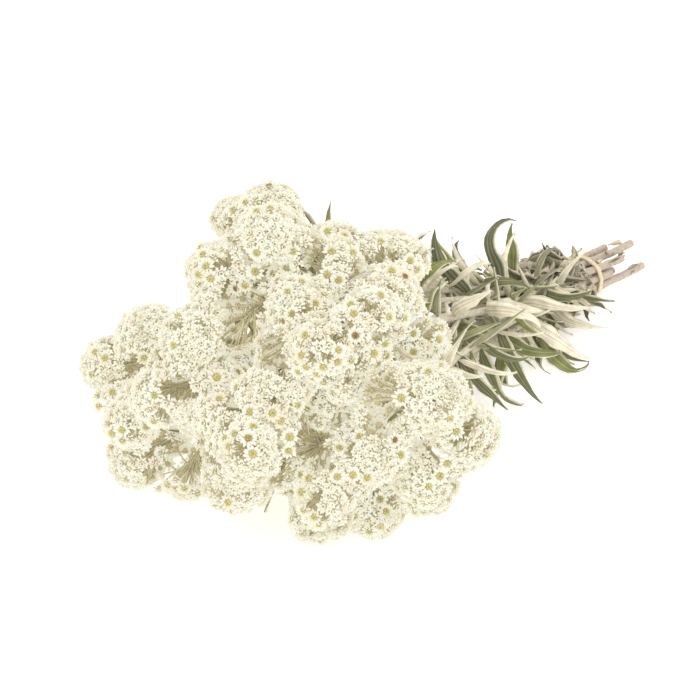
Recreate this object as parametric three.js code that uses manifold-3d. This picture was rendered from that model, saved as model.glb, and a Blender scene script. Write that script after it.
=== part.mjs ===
// A cut bunch of pearly everlasting, lying on its side: fourteen leafy stems held by an elastic band,
// each ending in a corymb of white flower heads. The bunch rests on z = 0.
// Millimetres, +Z up, +X towards the cut ends.
import * as THREE from "three";
import { ConvexGeometry } from "three/addons/geometries/ConvexGeometry.js";
import { mergeVertices } from "three/addons/utils/BufferGeometryUtils.js";
import Module from "manifold-3d";

const wasm = await Module();
wasm.setup();

// Driving dimensions. Places are measured from the narrow waist of the bunch, where x = 0.
const WAIST_HEIGHT = 19; // height of the bunch's middle at the waist
const CUT_REACH = 88; // from the waist to the longest cut end
const CUT_SPREAD = 40; // how unevenly the stems were cut
const CUT_HEIGHT = 10.5; // height of the bunch's middle at the cut ends
const STEM_RADIUS = 2.4; // at the cut end
const TIP_RADIUS = 1.5; // under the corymb
const STEM_PRESS = 0.8; // how far the cut ends that touch the surface are flattened, with half the gap
const STEM_GAP = 0.7; // air between neighbouring stems in the bundle
const BRANCH_RADIUS = 1.2;
const FORK_DEPTH = 34; // how deep inside the corymb its stem forks
const THREAD_STEPS = 24;
const THREAD_RADIUS = 4.6; // the room that a stem keeps round itself away from the waist
const KNEE_STEPS = 4;
const KNEE_RADIUS = 3.3;
const NECK_LENGTH = 7; // the stem's last stretch, which belongs to the corymb
const JOINT_GAP = 0.34;
const SHORT_EDGE = 0.04;
const BAND_PLACE = 42; // from the waist towards the cut ends
const BAND_WIDTH = 3.2;
const BAND_THICKNESS = 1.4;
const BAND_GAP = 0.45;
const BAND_SIDES = 16;
const HEART = [-150, 0, 62]; // the point that the flower heads face away from
const CLUSTER_RADIUS = 18.6; // of a tuft of flower heads, over the tips of their bracts
const CLUSTER_MERGE = 0.84; // how close tufts of one corymb come, as a share of their radii together
const CLUSTER_VARIES = 2.5;
const CLUSTER_GAP = 0.8;
const CLUSTER_SPREAD = 20; // from the middle of a corymb to its outer tufts
const RIM_TIPS = 5; // the star of bracts round an open head
const BUD_SHARE = 0.52; // heads that are still closed: domes instead of stars
const SINK_BELOW = 5; // tufts that are this close to the surface sink onto it
const SINK = 0.15;
const FLOOR_PRESS = 2.2; // how far the lowest tufts are pressed flat by the surface
const LEAVES_PER_STEM = 9;
const LEAF_LENGTH = 51;
const LEAF_HALF_WIDTH = 5;
const LEAF_THICKNESS = 1.3; // along the midrib; the edges are thin
const LEAF_CLEAR = 2.9; // between the leaves of different stems

// Each stem's corymb: how far it reaches from the waist, how far to the side it lies, its height
// and its number of tufts.
const CORYMBS = [
  { reach: 218, across: 12, height: 120, tufts: 4 },
  { reach: 184, across: 38, height: 121, tufts: 2 },
  { reach: 180, across: 0, height: 113, tufts: 3 },
  { reach: 184, across: -28, height: 100, tufts: 4 },
  { reach: 224, across: -52, height: 110, tufts: 4 },
  { reach: 242, across: 63, height: 57, tufts: 4 },
  { reach: 254, across: 0, height: 84, tufts: 4 },
  { reach: 247, across: 48, height: 27, tufts: 4 },
  { reach: 254, across: -32, height: 80, tufts: 4 },
  { reach: 204, across: -56, height: 24, tufts: 4 },
  { reach: 232, across: -66, height: 52, tufts: 4 },
  { reach: 203, across: -94, height: 72, tufts: 3 },
  { reach: 170, across: 58, height: 80, tufts: 3 },
  { reach: 194, across: 6, height: 18, tufts: 3 },
];

const vec = (x, y, z) => new THREE.Vector3(x, y, z);
const heart = vec(...HEART);
const degrees = THREE.MathUtils.degToRad;
const mix = THREE.MathUtils.lerp;

// A repeatable number from 0 to 1 for each pair of whole numbers.
function draw(a, b) {
  const x = Math.sin(a * 127.1 + b * 311.7) * 43758.5453;
  return x - Math.floor(x);
}

// Two directions square to d and to each other.
function frameAround(d) {
  const side = Math.abs(d.z) < 0.9 ? vec(0, 0, 1) : vec(1, 0, 0);
  const e = side.cross(d).normalize();
  const f = d.clone().cross(e);
  return [e, f];
}

// Balls that come too close push each other apart in equal steps, and a pull draws each one home at first.
// Balls of one thread don't push each other, apart from tufts. A ball with neighbours on both sides is
// drawn between them.
function settle(balls, rounds, pull, floorPress) {
  const home = balls.map((b) => b.at.clone());
  for (let round = 0; round < rounds; round++) {
    const moves = balls.map(() => vec(0, 0, 0));
    for (let i = 0; i < balls.length; i++) {
      for (let j = 0; j < i; j++) {
        const [a, b] = [balls[i], balls[j]];
        if (a.thread === b.thread && !(a.tuft && b.tuft)) continue;
        const reach = (a.radius + b.radius) * (a.thread === b.thread ? CLUSTER_MERGE : 1);
        if (a.at.distanceToSquared(b.at) >= reach * reach) continue;
        const apart = a.at.clone().sub(b.at);
        const short = reach - apart.length();
        apart.normalize();
        moves[i].addScaledVector(apart, 0.3 * short);
        moves[j].addScaledVector(apart, -0.3 * short);
      }
    }
    const hold = round < rounds / 2 ? pull : 0;
    const ease = round < rounds - 50 ? 0.3 : 0.08;
    balls.forEach((b, i) => {
      if (b.between) {
        const [p, q] = b.between.map((n) => balls[n].at);
        moves[i].addScaledVector(p.clone().add(q).addScaledVector(b.at, -2), ease);
      }
      moves[i].addScaledVector(home[i].clone().sub(b.at), hold);
      if (b.tuft && b.at.z < b.radius + SINK_BELOW) moves[i].z -= SINK;
    });
    balls.forEach((b, i) => {
      if (b.fixed) return;
      b.at.add(moves[i]);
      b.at.z = Math.max(b.at.z, b.radius - floorPress);
    });
  }
}

function bezier(p, t) {
  const s = 1 - t;
  return vec(0, 0, 0)
    .addScaledVector(p[0], s * s * s)
    .addScaledVector(p[1], 3 * s * s * t)
    .addScaledVector(p[2], 3 * s * t * t)
    .addScaledVector(p[3], t * t * t);
}

function pathPoint(path, t) {
  const s = 1 - t;
  return vec(0, 0, 0)
    .addScaledVector(path[0], s * s)
    .addScaledVector(path[1], 2 * s * t)
    .addScaledVector(path[2], t * t);
}

// Tufts of flower heads: one in the middle of the corymb and the others round it, pushed apart.
function layOutTufts() {
  const tufts = [];
  CORYMBS.forEach((c, i) => {
    const middle = vec(-c.reach, c.across, c.height);
    const out = middle.clone().sub(heart).normalize();
    const [e, f] = frameAround(out);
    const turn = draw(i, 1) * 2 * Math.PI;
    const inRing = c.tufts === 4 ? 3 : c.tufts;
    for (let k = 0; k < c.tufts; k++) {
      const angle = turn + (k * 2 * Math.PI) / inRing;
      const spread = k === 3 ? 0 : CLUSTER_SPREAD * (0.85 + 0.3 * draw(i, 10 + k));
      const at = middle
        .clone()
        .addScaledVector(e, spread * Math.cos(angle))
        .addScaledVector(f, spread * Math.sin(angle))
        .addScaledVector(out, k === 3 ? 6 : -6 * draw(i, 20 + k));
      const radius = CLUSTER_RADIUS + CLUSTER_VARIES * (2 * draw(i, 30 + k) - 1);
      tufts.push({ stem: i, thread: i, tuft: true, at, radius: radius + CLUSTER_GAP / 2 });
    }
  });
  settle(tufts, 120, 0.03, FLOOR_PRESS);
  return tufts;
}

// The stems' places in the bundle, on a section square to x; a stem keeps its side of the bundle.
function packSection(places, floorPress) {
  const radius = STEM_RADIUS + STEM_GAP / 2;
  const balls = places.map((at, i) => ({ thread: i, at, radius }));
  settle(balls, 200, 0.05, floorPress);
  balls.forEach((b) => (b.at.x = places[0].x));
  return balls.map((b) => b.at);
}

// Stems and their branches as threads of balls, bent clear of the tufts and of each other.
function layOutStems(tufts) {
  const waist = packSection(
    CORYMBS.map((c) => vec(0, 0.08 * c.across, WAIST_HEIGHT + 0.11 * (c.height - 78))),
    0,
  );
  const cut = packSection(
    waist.map((p) => vec(CUT_REACH, 1.15 * p.y, CUT_HEIGHT + 0.8 * (p.z - WAIST_HEIGHT))),
    STEM_PRESS,
  );
  const balls = [...tufts];
  const stems = CORYMBS.map((c, i) => {
    const own = tufts.filter((t) => t.stem === i);
    const middle = own
      .reduce((sum, t) => sum.add(t.at), vec(0, 0, 0))
      .divideScalar(own.length);
    const out = middle.clone().sub(heart).normalize();
    const top = middle.clone().addScaledVector(out, -FORK_DEPTH);
    top.x += 10;
    const span = waist[i].distanceTo(top);
    const course = [
      waist[i],
      waist[i].clone().add(vec(-0.42 * span, 0, 0)),
      top.clone().addScaledVector(out, -0.22 * span).add(vec(0.12 * span, 0, 0)),
      top,
    ];
    const thread = [];
    for (let n = 0; n <= THREAD_STEPS; n++) {
      const t = n / THREAD_STEPS;
      const at = bezier(course, t);
      const spread = THREE.MathUtils.smoothstep(t, 0, 0.35);
      const radius = mix(STEM_RADIUS + STEM_GAP / 2, THREAD_RADIUS, spread);
      const inside = n > 0 && n < THREAD_STEPS;
      const here = balls.length;
      const between = inside ? [here - 1, here + 1] : null;
      thread.push({ thread: i, at, radius, between, fixed: n === 0 });
      balls.push(thread[n]);
    }
    const fork = balls.length - 1;
    own.forEach((tuft) => {
      const knee = top.clone().addScaledVector(out, 11);
      const path = [top, knee, tuft.at.clone().lerp(knee, 0.3)];
      tuft.branch = [thread[THREAD_STEPS]];
      for (let n = 1; n < KNEE_STEPS; n++) {
        const before = n === 1 ? fork : balls.length - 1;
        const after = n === KNEE_STEPS - 1 ? balls.indexOf(tuft) : balls.length + 1;
        const at = pathPoint(path, n / KNEE_STEPS);
        const radius = KNEE_RADIUS + (2.4 * n) / KNEE_STEPS;
        const ball = { thread: i, at, radius, between: [before, after] };
        tuft.branch.push(ball);
        balls.push(ball);
      }
    });
    const tail = [
      cut[i],
      cut[i].clone().add(vec(-0.3 * CUT_REACH, 0, 0)),
      waist[i].clone().add(vec(0.3 * CUT_REACH, 0, 0)),
      waist[i].clone(),
    ];
    return { tail, thread, out, own, start: -1 + (CUT_SPREAD / CUT_REACH) * draw(i, 2) };
  });
  settle(balls, 200, 0.02, FLOOR_PRESS);
  stems.forEach((stem) => {
    stem.course = new THREE.CatmullRomCurve3(stem.thread.map((b) => b.at));
    stem.top = stem.thread[THREAD_STEPS].at;
  });
  return stems;
}

// w runs from -1 at the longest cut end through 0 at the waist to 1 at the top of the stem.
function stemPoint(stem, w) {
  return w < 0 ? bezier(stem.tail, 1 + w) : stem.course.getPoint(w);
}

function stemRadius(w) {
  return mix(STEM_RADIUS, TIP_RADIUS, (w + 1) / 2);
}

// Solids

function solidOf(positions, index) {
  const geometry = new THREE.BufferGeometry();
  geometry.setAttribute("position", new THREE.Float32BufferAttribute(positions, 3));
  geometry.setIndex(index);
  return toManifold(geometry);
}

function toManifold(geometry) {
  const bare = geometry.clone();
  bare.deleteAttribute("normal");
  bare.deleteAttribute("uv");
  const merged = mergeVertices(bare, 1e-4);
  return new wasm.Manifold(
    new wasm.Mesh({
      numProp: 3,
      vertProperties: new Float32Array(merged.attributes.position.array),
      triVerts: new Uint32Array(merged.index.array),
    }),
  );
}

// A tapering rod: a closed cylinder whose rings are moved onto the path's points.
function rod(points, radii, sides) {
  const steps = points.length - 1;
  const geometry = new THREE.CylinderGeometry(1, 1, 1, sides, steps);
  const place = geometry.attributes.position;
  for (let v = 0; v < place.count; v++) {
    const ring = Math.round((0.5 - place.getY(v)) * steps);
    const before = points[Math.max(ring - 1, 0)];
    const after = points[Math.min(ring + 1, steps)];
    const along = after.clone().sub(before).normalize();
    const [e, f] = frameAround(along);
    const moved = points[ring]
      .clone()
      .addScaledVector(e, place.getX(v) * radii[ring])
      .addScaledVector(f, place.getZ(v) * radii[ring]);
    place.setXYZ(v, moved.x, moved.y, moved.z);
  }
  return toManifold(geometry);
}

// A tuft: a small core whose faces each flare out into one flower head with a star-shaped rim, on a
// branch that widens into the core as the flower stalks spread. A face that looks into a neighbouring
// tuft has no head.
function tuftSolid(tuft, neighbours) {
  const { at, radius, axis, spin, sides, course } = tuft;
  const core = 0.5 * radius;
  const [e, f] = frameAround(axis);
  const direction = (tilt, turn) =>
    axis
      .clone()
      .multiplyScalar(Math.cos(tilt))
      .addScaledVector(e, Math.sin(tilt) * Math.cos(turn))
      .addScaledVector(f, Math.sin(tilt) * Math.sin(turn));
  const step = (2 * Math.PI) / sides;
  const corners = [direction(0, 0)];
  const upperTilt = degrees(sides === 4 ? 60 : 68);
  const lowerTilt = degrees(122);
  for (let i = 0; i < sides; i++) corners.push(direction(upperTilt, spin + i * step));
  for (let i = 0; i < sides; i++) corners.push(direction(lowerTilt, spin + (i + 0.5) * step));
  const upper = (i) => 1 + (i % sides);
  const lower = (i) => 1 + sides + (i % sides);
  const heads = [];
  for (let i = 0; i < sides; i++) {
    heads.push([0, upper(i), upper(i + 1)]);
    heads.push([upper(i), lower(i), upper(i + 1)]);
    heads.push([lower(i), lower(i + 1), upper(i + 1)]);
  }
  const points = corners.map((c) => c.clone().multiplyScalar(core));
  const index = [];
  heads.forEach((face, h) => {
    const middle = face.reduce((sum, n) => sum.add(points[n]), vec(0, 0, 0));
    const crown = middle.setLength(0.9 * radius).add(at);
    const hidden = neighbours.some((n) => crown.distanceTo(n.at) < 0.8 * n.radius);
    if (hidden) index.push(...face);
    else flareHead(face, points, index, radius, h);
  });
  points.forEach((p) => p.add(at));
  let above = corners.slice(1 + sides).map((_, i) => lower(i));
  [0.6, 0].forEach((t) => {
    const place = course.getPoint(t);
    const ring = above.map((_, i) => {
      const spoke = direction(Math.PI / 2, spin + (i + 0.5) * step);
      return points.push(place.clone().addScaledVector(spoke, BRANCH_RADIUS)) - 1;
    });
    ring.forEach((r, i) => {
      const j = (i + 1) % sides;
      index.push(above[j], above[i], r, above[j], r, ring[j]);
    });
    above = ring;
  });
  for (let i = 1; i < sides - 1; i++) index.push(above[0], above[i + 1], above[i]);
  return solidOf(points.flatMap((p) => p.toArray()), index);
}

function flareHead(face, points, index, radius, h) {
  const [a, b, c] = face.map((i) => points[i]);
  const middle = a.clone().add(b).add(c).divideScalar(3);
  const normal = b.clone().sub(a).cross(c.clone().sub(a)).normalize();
  const e = a.clone().sub(middle).normalize();
  const f = normal.clone().cross(e);
  const edges = [
    [a, b],
    [b, c],
    [c, a],
  ].map(([p, q]) => {
    const inward = normal.clone().cross(q.clone().sub(p)).normalize();
    return { inward, distance: middle.clone().sub(p).dot(inward) };
  });
  const widest = 1.3 * Math.min(...edges.map((edge) => edge.distance));
  const angleOf = (p) => {
    const d = p.clone().sub(middle);
    return (Math.atan2(d.dot(f), d.dot(e)) + 2 * Math.PI) % (2 * Math.PI);
  };
  const cornerAngles = [0, angleOf(b), angleOf(c)];
  const rim = [];
  const owner = [];
  const bud = draw(Math.round(points.length + 100 * radius), 4) < BUD_SHARE;
  const count = bud ? RIM_TIPS : 2 * RIM_TIPS;
  for (let j = 0; j < count; j++) {
    const tip = bud || j % 2 === 0;
    const angle = ((j + 0.35 * draw(h, 3)) * 2 * Math.PI) / count;
    const ray = e
      .clone()
      .multiplyScalar(Math.cos(angle))
      .addScaledVector(f, Math.sin(angle));
    const limit = Math.min(
      ...edges.map((edge) => {
        const closing = -ray.dot(edge.inward);
        return closing > 1e-6 ? edge.distance / closing : Infinity;
      }),
    );
    const out = Math.min(0.94 * limit, widest) * (bud ? 0.85 : tip ? 1 : 0.7);
    const place = middle.clone().addScaledVector(ray, out).normalize();
    rim.push(points.push(place.multiplyScalar(radius * (bud ? 0.9 : tip ? 1 : 0.93))) - 1);
    const gaps = cornerAngles.map((k) => {
      const gap = Math.abs(angle - k) % (2 * Math.PI);
      return Math.min(gap, 2 * Math.PI - gap);
    });
    owner.push(face[gaps.indexOf(Math.min(...gaps))]);
  }
  const crown = middle.clone().normalize().multiplyScalar(radius * (bud ? 0.99 : 0.88));
  const eye = points.push(crown) - 1;
  rim.forEach((r, j) => {
    const next = (j + 1) % rim.length;
    index.push(eye, r, rim[next]);
    index.push(rim[next], r, owner[j]);
    if (owner[next] !== owner[j]) index.push(owner[j], owner[next], rim[next]);
  });
}

// Leaves

const LEAF_STATIONS = [0.12, 0.42, 0.75];

// Half width of a lance-shaped leaf at s, from 0 at its foot to 1 at its tip, as a share of the widest.
function leafOutline(s) {
  return 0.16 + 0.84 * Math.sin(Math.PI * Math.pow(s, 0.72)) ** 0.9 - 0.16 * s;
}

// A leaf's curved middle surface at s along and v across, which runs from -1 to 1.
function leafPoint(leaf, s, v) {
  const { foot, along, out, length, width, lift, curl, twist, fold, wave, droop } = leaf;
  const bend = Math.abs(curl) < 1e-3 ? 1e-3 : curl;
  const angle = lift + bend * s;
  const p = foot
    .clone()
    .addScaledVector(along, (length * (Math.sin(angle) - Math.sin(lift))) / bend)
    .addScaledVector(out, (length * (Math.cos(lift) - Math.cos(angle))) / bend);
  const ahead = along
    .clone()
    .multiplyScalar(Math.cos(angle))
    .addScaledVector(out, Math.sin(angle));
  const face = along
    .clone()
    .multiplyScalar(-Math.sin(angle))
    .addScaledVector(out, Math.cos(angle));
  const flank = ahead.cross(face);
  const turn = twist * s;
  const side = flank
    .clone()
    .multiplyScalar(Math.cos(turn))
    .addScaledVector(face, Math.sin(turn));
  const up = face.multiplyScalar(Math.cos(turn)).addScaledVector(flank, -Math.sin(turn));
  const half = width * (s >= 1 ? 0 : leafOutline(s));
  const ripple = Math.sin(leaf.phase + 11 * s + (v > 0 ? 1.5 : 0)) * wave * Math.abs(v);
  p.addScaledVector(side, v * half).addScaledVector(
    up,
    half * (fold * v * v + ripple),
  );
  p.z -= droop * length * s * s;
  if (p.z < 3) p.z = 1 + 2 * Math.exp((p.z - 3) / 2);
  return p;
}

// The blade's corners: left, right, top and bottom at each station.
function leafRows(leaf) {
  const half = LEAF_THICKNESS / 2;
  return LEAF_STATIONS.map((s) => {
    const left = leafPoint(leaf, s, -1);
    const mid = leafPoint(leaf, s, 0);
    const right = leafPoint(leaf, s, 1);
    const ahead = leafPoint(leaf, s + 0.05, 0).sub(mid);
    const up = ahead.cross(left.clone().sub(right)).normalize();
    return [left, right, mid.clone().addScaledVector(up, half), mid.clone().addScaledVector(up, -half)];
  });
}

function leafSolid(leaf) {
  const points = leafRows(leaf).flat();
  const index = [];
  const foot = points.push(leaf.foot) - 1;
  const tip = points.push(leafPoint(leaf, 1, 0)) - 1;
  const [L, R, U, D] = [0, 1, 2, 3];
  index.push(U, L, foot, R, U, foot, D, R, foot, L, D, foot);
  const last = LEAF_STATIONS.length - 1;
  for (let k = 0; k < last; k++) {
    const a = 4 * k;
    const b = a + 4;
    index.push(a + L, a + U, b + U, a + L, b + U, b + L);
    index.push(a + U, a + R, b + R, a + U, b + R, b + U);
    index.push(a + L, b + D, a + D, a + L, b + L, b + D);
    index.push(a + D, b + R, a + R, a + D, b + D, b + R);
  }
  const a = 4 * last;
  index.push(a + L, a + U, tip, a + U, a + R, tip, a + R, a + D, tip, a + D, a + L, tip);
  return solidOf(points.flatMap((p) => p.toArray()), index);
}

// The air round a leaf: a hull over each half of each stretch of the blade, grown by room each way.
function leafRoom(leaf, room) {
  const rows = leafRows(leaf);
  rows.unshift(Array(4).fill(leaf.foot));
  rows.push(Array(4).fill(leafPoint(leaf, 1, 0)));
  const hulls = [];
  for (let k = 1; k < rows.length; k++) {
    [0, 1].forEach((side) => {
      const corners = [rows[k - 1], rows[k]].flatMap((row) => [row[side], row[2], row[3]]);
      const grown = corners.flatMap(({ x, y, z }) => [
        vec(x - room, y, z),
        vec(x + room, y, z),
        vec(x, y - room, z),
        vec(x, y + room, z),
        vec(x, y, z - room),
        vec(x, y, z + room),
      ]);
      hulls.push(toManifold(new ConvexGeometry(grown)));
    });
  }
  return wasm.Manifold.union(hulls);
}

function leafSamples(leaf) {
  const samples = [];
  for (let i = 2; i <= 12; i++)
    for (let j = -2; j <= 2; j++) samples.push(leafPoint(leaf, i / 12, j / 2));
  return samples;
}

function boundOf(leaf) {
  const samples = leafSamples(leaf);
  const middle = leafPoint(leaf, 0.5, 0);
  return { samples, middle, reach: Math.max(...samples.map((p) => p.distanceTo(middle))) };
}

// The leaf's first pose that keeps clear of the other stems, the tufts and the leaves already there.
const TURNS = [0, 25, -25, 50, -50, 75, -75, 100, -100, 130, -130, 160];
const LIFTS = [0, 14, 28];

function growLeaves(stems, tufts) {
  const rods = stems.flatMap((stem, i) => {
    const list = [];
    for (let n = 0; n <= 60; n++) {
      const w = -1 + n / 30;
      list.push({ stem: i, at: stemPoint(stem, w), clear: stemRadius(w) + 1.3 });
    }
    stem.own.forEach((tuft) => {
      for (let n = 0; n <= 8; n++) {
        list.push({ stem: -1, at: tuft.course.getPoint(n / 8), clear: BRANCH_RADIUS + 1.5 });
      }
    });
    return list;
  });
  const balls = tufts.map((t) => ({ stem: -1, at: t.at, clear: t.radius + 1 }));
  const obstacles = rods.concat(balls);
  const taken = [];
  const grown = [];
  stems.forEach((stem, i) => {
    for (let k = 0; k < LEAVES_PER_STEM; k++) {
      const leaf = firstClearLeaf(stem, i, k, obstacles, taken);
      if (!leaf) continue;
      taken.push({ stem: i, ...boundOf(leaf) });
      grown.push(leaf);
    }
  });
  return grown;
}

function firstClearLeaf(stem, i, k, obstacles, taken) {
  for (let size = 1; size > 0.5; size -= 0.22) {
    for (const [turn, lift] of TURNS.flatMap((t) => LIFTS.map((l) => [t, l]))) {
      const leaf = makeLeaf(stem, i, k, degrees(turn), size);
      leaf.lift += degrees(lift);
      leaf.curl -= 1.6 * degrees(lift);
      const { samples, middle, reach } = boundOf(leaf);
      const near = obstacles.filter(
        (o) => o.stem !== i && middle.distanceTo(o.at) < reach + o.clear,
      );
      const leavesNear = taken.filter(
        (t) => t.stem !== i && middle.distanceTo(t.middle) < reach + t.reach + LEAF_CLEAR,
      );
      const clear = samples.every(
        (p) =>
          p.x < BAND_PLACE - BAND_WIDTH &&
          near.every((o) => p.distanceTo(o.at) > o.clear) &&
          leavesNear.every((t) => t.samples.every((q) => p.distanceTo(q) > LEAF_CLEAR)),
      );
      if (clear) return leaf;
    }
  }
  return null;
}

function makeLeaf(stem, i, k, turn, size) {
  const share = (k + 0.5 + 0.6 * (draw(i, 40 + k) - 0.5)) / LEAVES_PER_STEM;
  const w = -0.45 + 1.27 * share;
  const core = stemPoint(stem, w);
  const along = stemPoint(stem, Math.min(w + 0.03, 1)).sub(stemPoint(stem, w - 0.03)).normalize();
  const axisShare = Math.max(w, 0);
  const middle = vec(core.x, 0, mix(WAIST_HEIGHT, 70, axisShare));
  const outward = core.clone().sub(middle);
  outward.addScaledVector(along, -outward.dot(along));
  if (outward.length() < 1) outward.set(0, 0, 1);
  outward.normalize();
  const around = along.clone().cross(outward);
  const angle = turn + degrees(70) * (2 * draw(i, 60 + k) - 1);
  const out = outward
    .multiplyScalar(Math.cos(angle))
    .addScaledVector(around, Math.sin(angle));
  const foot = core.addScaledVector(out, 0.45 * stemRadius(w));
  const low = THREE.MathUtils.clamp((0.45 - share) / 0.3, 0, 1);
  const small = 1 - 0.6 * Math.max(0, share - 0.6) - 0.3 * low;
  return {
    stem: i,
    w,
    foot,
    along,
    out,
    length: LEAF_LENGTH * size * small * (0.75 + 0.5 * draw(i, 80 + k)),
    width: LEAF_HALF_WIDTH * Math.sqrt(size) * small * (0.8 + 0.4 * draw(i, 100 + k)),
    lift: degrees(mix(18 + 42 * draw(i, 120 + k), 14 + 24 * draw(i, 120 + k), low)),
    curl: mix(0.3 + 2 * draw(i, 140 + k), -1.1 + 0.7 * draw(i, 140 + k), low),
    twist: 1.6 * (2 * draw(i, 160 + k) - 1),
    fold: 0.2 + 0.4 * draw(i, 180 + k),
    wave: 0.1 + 0.2 * draw(i, 200 + k) + 0.15 * low,
    phase: 6 * draw(i, 220 + k),
    droop: mix(0.05 + 0.3 * draw(i, 240 + k), 0.03, low),
  };
}

// Corymbs: the stem's neck forks into one branch for each tuft.

function forkStem(stem) {
  stem.own.forEach((tuft, k) => {
    tuft.radius -= CLUSTER_GAP / 2;
    const path = tuft.branch.map((b) => b.at);
    tuft.axis = tuft.at.clone().sub(path[KNEE_STEPS - 1]).normalize();
    tuft.spin = draw(tuft.stem, 50 + k) * 2 * Math.PI;
    tuft.sides = tuft.radius > 1.05 * CLUSTER_RADIUS ? 4 : 3;
    path.push(tuft.at.clone().addScaledVector(tuft.axis, -0.1 * tuft.radius));
    tuft.course = new THREE.CatmullRomCurve3(path);
  });
}

function neckStart(stem) {
  let w = 1;
  while (stemPoint(stem, w).distanceTo(stem.top) < NECK_LENGTH) w -= 0.002;
  return w;
}

function corymbSolid(stem) {
  const from = neckStart(stem);
  const neck = [0, 0.5, 1].map((t) => stemPoint(stem, mix(from, 1, t)));
  neck.push(stem.top.clone().addScaledVector(stem.out, 2.5));
  const solids = [rod(neck, [TIP_RADIUS, TIP_RADIUS, 1.8, 1.2], 5)];
  stem.own.forEach((tuft) => {
    solids.push(tuftSolid(tuft, stem.own.filter((other) => other !== tuft)));
  });
  return oneBody(wasm.Manifold.union(solids));
}

function stemSolid(stem, room = 0) {
  const to = neckStart(stem) - (1.5 * JOINT_GAP) / stem.course.getLength();
  const inner = [-0.5, 0, 0.14, 0.28, 0.42, 0.56, 0.7, 0.84].filter((w) => w < to - 0.05);
  const places = [stem.start, ...inner, to];
  const points = places.map((w) => stemPoint(stem, w));
  return rod(points, places.map((w) => stemRadius(w) + room), 5);
}

// Stems with their leaves. A leaf that would still cross a neighbour is trimmed back, with air between.
function leafyStemSolids(stems, leaves, others) {
  const room = JOINT_GAP + 0.1;
  const fatStems = stems.map((stem) => stemSolid(stem, room));
  const done = [];
  return stems.map((stem, i) => {
    const solids = [stemSolid(stem)];
    const own = leaves.filter((leaf) => leaf.stem === i);
    own.forEach((leaf) => {
      let solid = leafSolid(leaf);
      const near = [
        ...fatStems.filter((_, j) => j !== i),
        ...done.filter((d) => d.stem !== i).map((d) => d.fat),
        ...others,
      ].filter((other) => touching(solid, other));
      near.forEach((other) => (solid = solid.subtract(other)));
      solids.push(solid);
    });
    own.forEach((leaf) => done.push({ stem: i, fat: leafRoom(leaf, room) }));
    return oneBody(wasm.Manifold.union(solids));
  });
}

// The largest body, without the shortest of its edges.
function oneBody(solid) {
  const bodies = solid.decompose();
  const main = bodies.reduce((best, b) => (b.volume() > best.volume() ? b : best));
  return main.asOriginal().simplify(SHORT_EDGE);
}

function touching(a, b) {
  const [p, q] = [a.boundingBox(), b.boundingBox()];
  const apart = [0, 1, 2].some((k) => p.min[k] > q.max[k] || p.max[k] < q.min[k]);
  return !apart && a.intersect(b).volume() > 0;
}

// The stems' outline at the band: the straight lines that just touch them from each of several directions.
function bandSolid(stems) {
  const w = -BAND_PLACE / CUT_REACH;
  const places = stems.map((stem) => stemPoint(stem, w));
  const room = stemRadius(w) + BAND_GAP;
  const reach = (angle) =>
    room + Math.max(...places.map((p) => p.y * Math.cos(angle) + p.z * Math.sin(angle)));
  const step = (2 * Math.PI) / BAND_SIDES;
  const corner = (k, thick) => {
    const [a, b] = [k * step, (k + 1) * step];
    const [ra, rb] = [reach(a) + thick, reach(b) + thick];
    return [
      (ra * Math.sin(b) - rb * Math.sin(a)) / Math.sin(step),
      (rb * Math.cos(a) - ra * Math.cos(b)) / Math.sin(step),
    ];
  };
  const points = [];
  const index = [];
  for (let k = 0; k < BAND_SIDES; k++) {
    for (const thick of [0, BAND_THICKNESS]) {
      for (const half of [-BAND_WIDTH / 2, BAND_WIDTH / 2]) {
        points.push([BAND_PLACE + half, ...corner(k, thick)]);
      }
    }
    const [a, b] = [4 * k, 4 * ((k + 1) % BAND_SIDES)];
    [
      [0, 1],
      [1, 3],
      [3, 2],
      [2, 0],
    ].forEach(([p, q]) => index.push(a + p, b + q, b + p, a + p, a + q, b + q));
  }
  return solidOf(points.flat(), index);
}

// Assembly

function meshOf(solid, name, material) {
  const made = solid.getMesh();
  const geometry = new THREE.BufferGeometry();
  const positions = new Float32Array(made.numVert * 3);
  for (let v = 0; v < made.numVert; v++)
    positions.set(made.vertProperties.subarray(v * made.numProp, v * made.numProp + 3), v * 3);
  geometry.setAttribute("position", new THREE.BufferAttribute(positions, 3));
  geometry.setIndex(new THREE.BufferAttribute(new Uint32Array(made.triVerts), 1));
  geometry.computeVertexNormals();
  const mesh = new THREE.Mesh(geometry, material);
  mesh.name = name;
  return mesh;
}

const petals = new THREE.MeshStandardMaterial({ color: 0xf4f1df, roughness: 0.85, metalness: 0 });
const leafage = new THREE.MeshStandardMaterial({ color: 0xa3a883, roughness: 0.9, metalness: 0 });
const elastic = new THREE.MeshStandardMaterial({ color: 0xe3d6b4, roughness: 0.6, metalness: 0 });

const tufts = layOutTufts();
const stems = layOutStems(tufts);
stems.forEach(forkStem);
const leaves = growLeaves(stems, tufts);

const corymbs = stems.map((stem) => corymbSolid(stem));
const band = bandSolid(stems);
const leafyStems = leafyStemSolids(stems, leaves, corymbs);
const solids = [];
stems.forEach((stem, i) => {
  const label = String(i + 1).padStart(2, "0");
  solids.push({ name: `leafy_stem_${label}`, solid: leafyStems[i], material: leafage });
  solids.push({ name: `corymb_${label}`, solid: corymbs[i], material: petals });
});
solids.push({ name: "elastic_band", solid: band, material: elastic });

const bunch = new THREE.Group();
solids.forEach(({ name, solid, material }) => {
  bunch.add(meshOf(solid.trimByPlane([0, 0, 1], 0), name, material));
});
const box = new THREE.Box3().setFromObject(bunch);
bunch.position.set(-(box.min.x + box.max.x) / 2, -(box.min.y + box.max.y) / 2, -box.min.z);

export default bunch;
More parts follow.
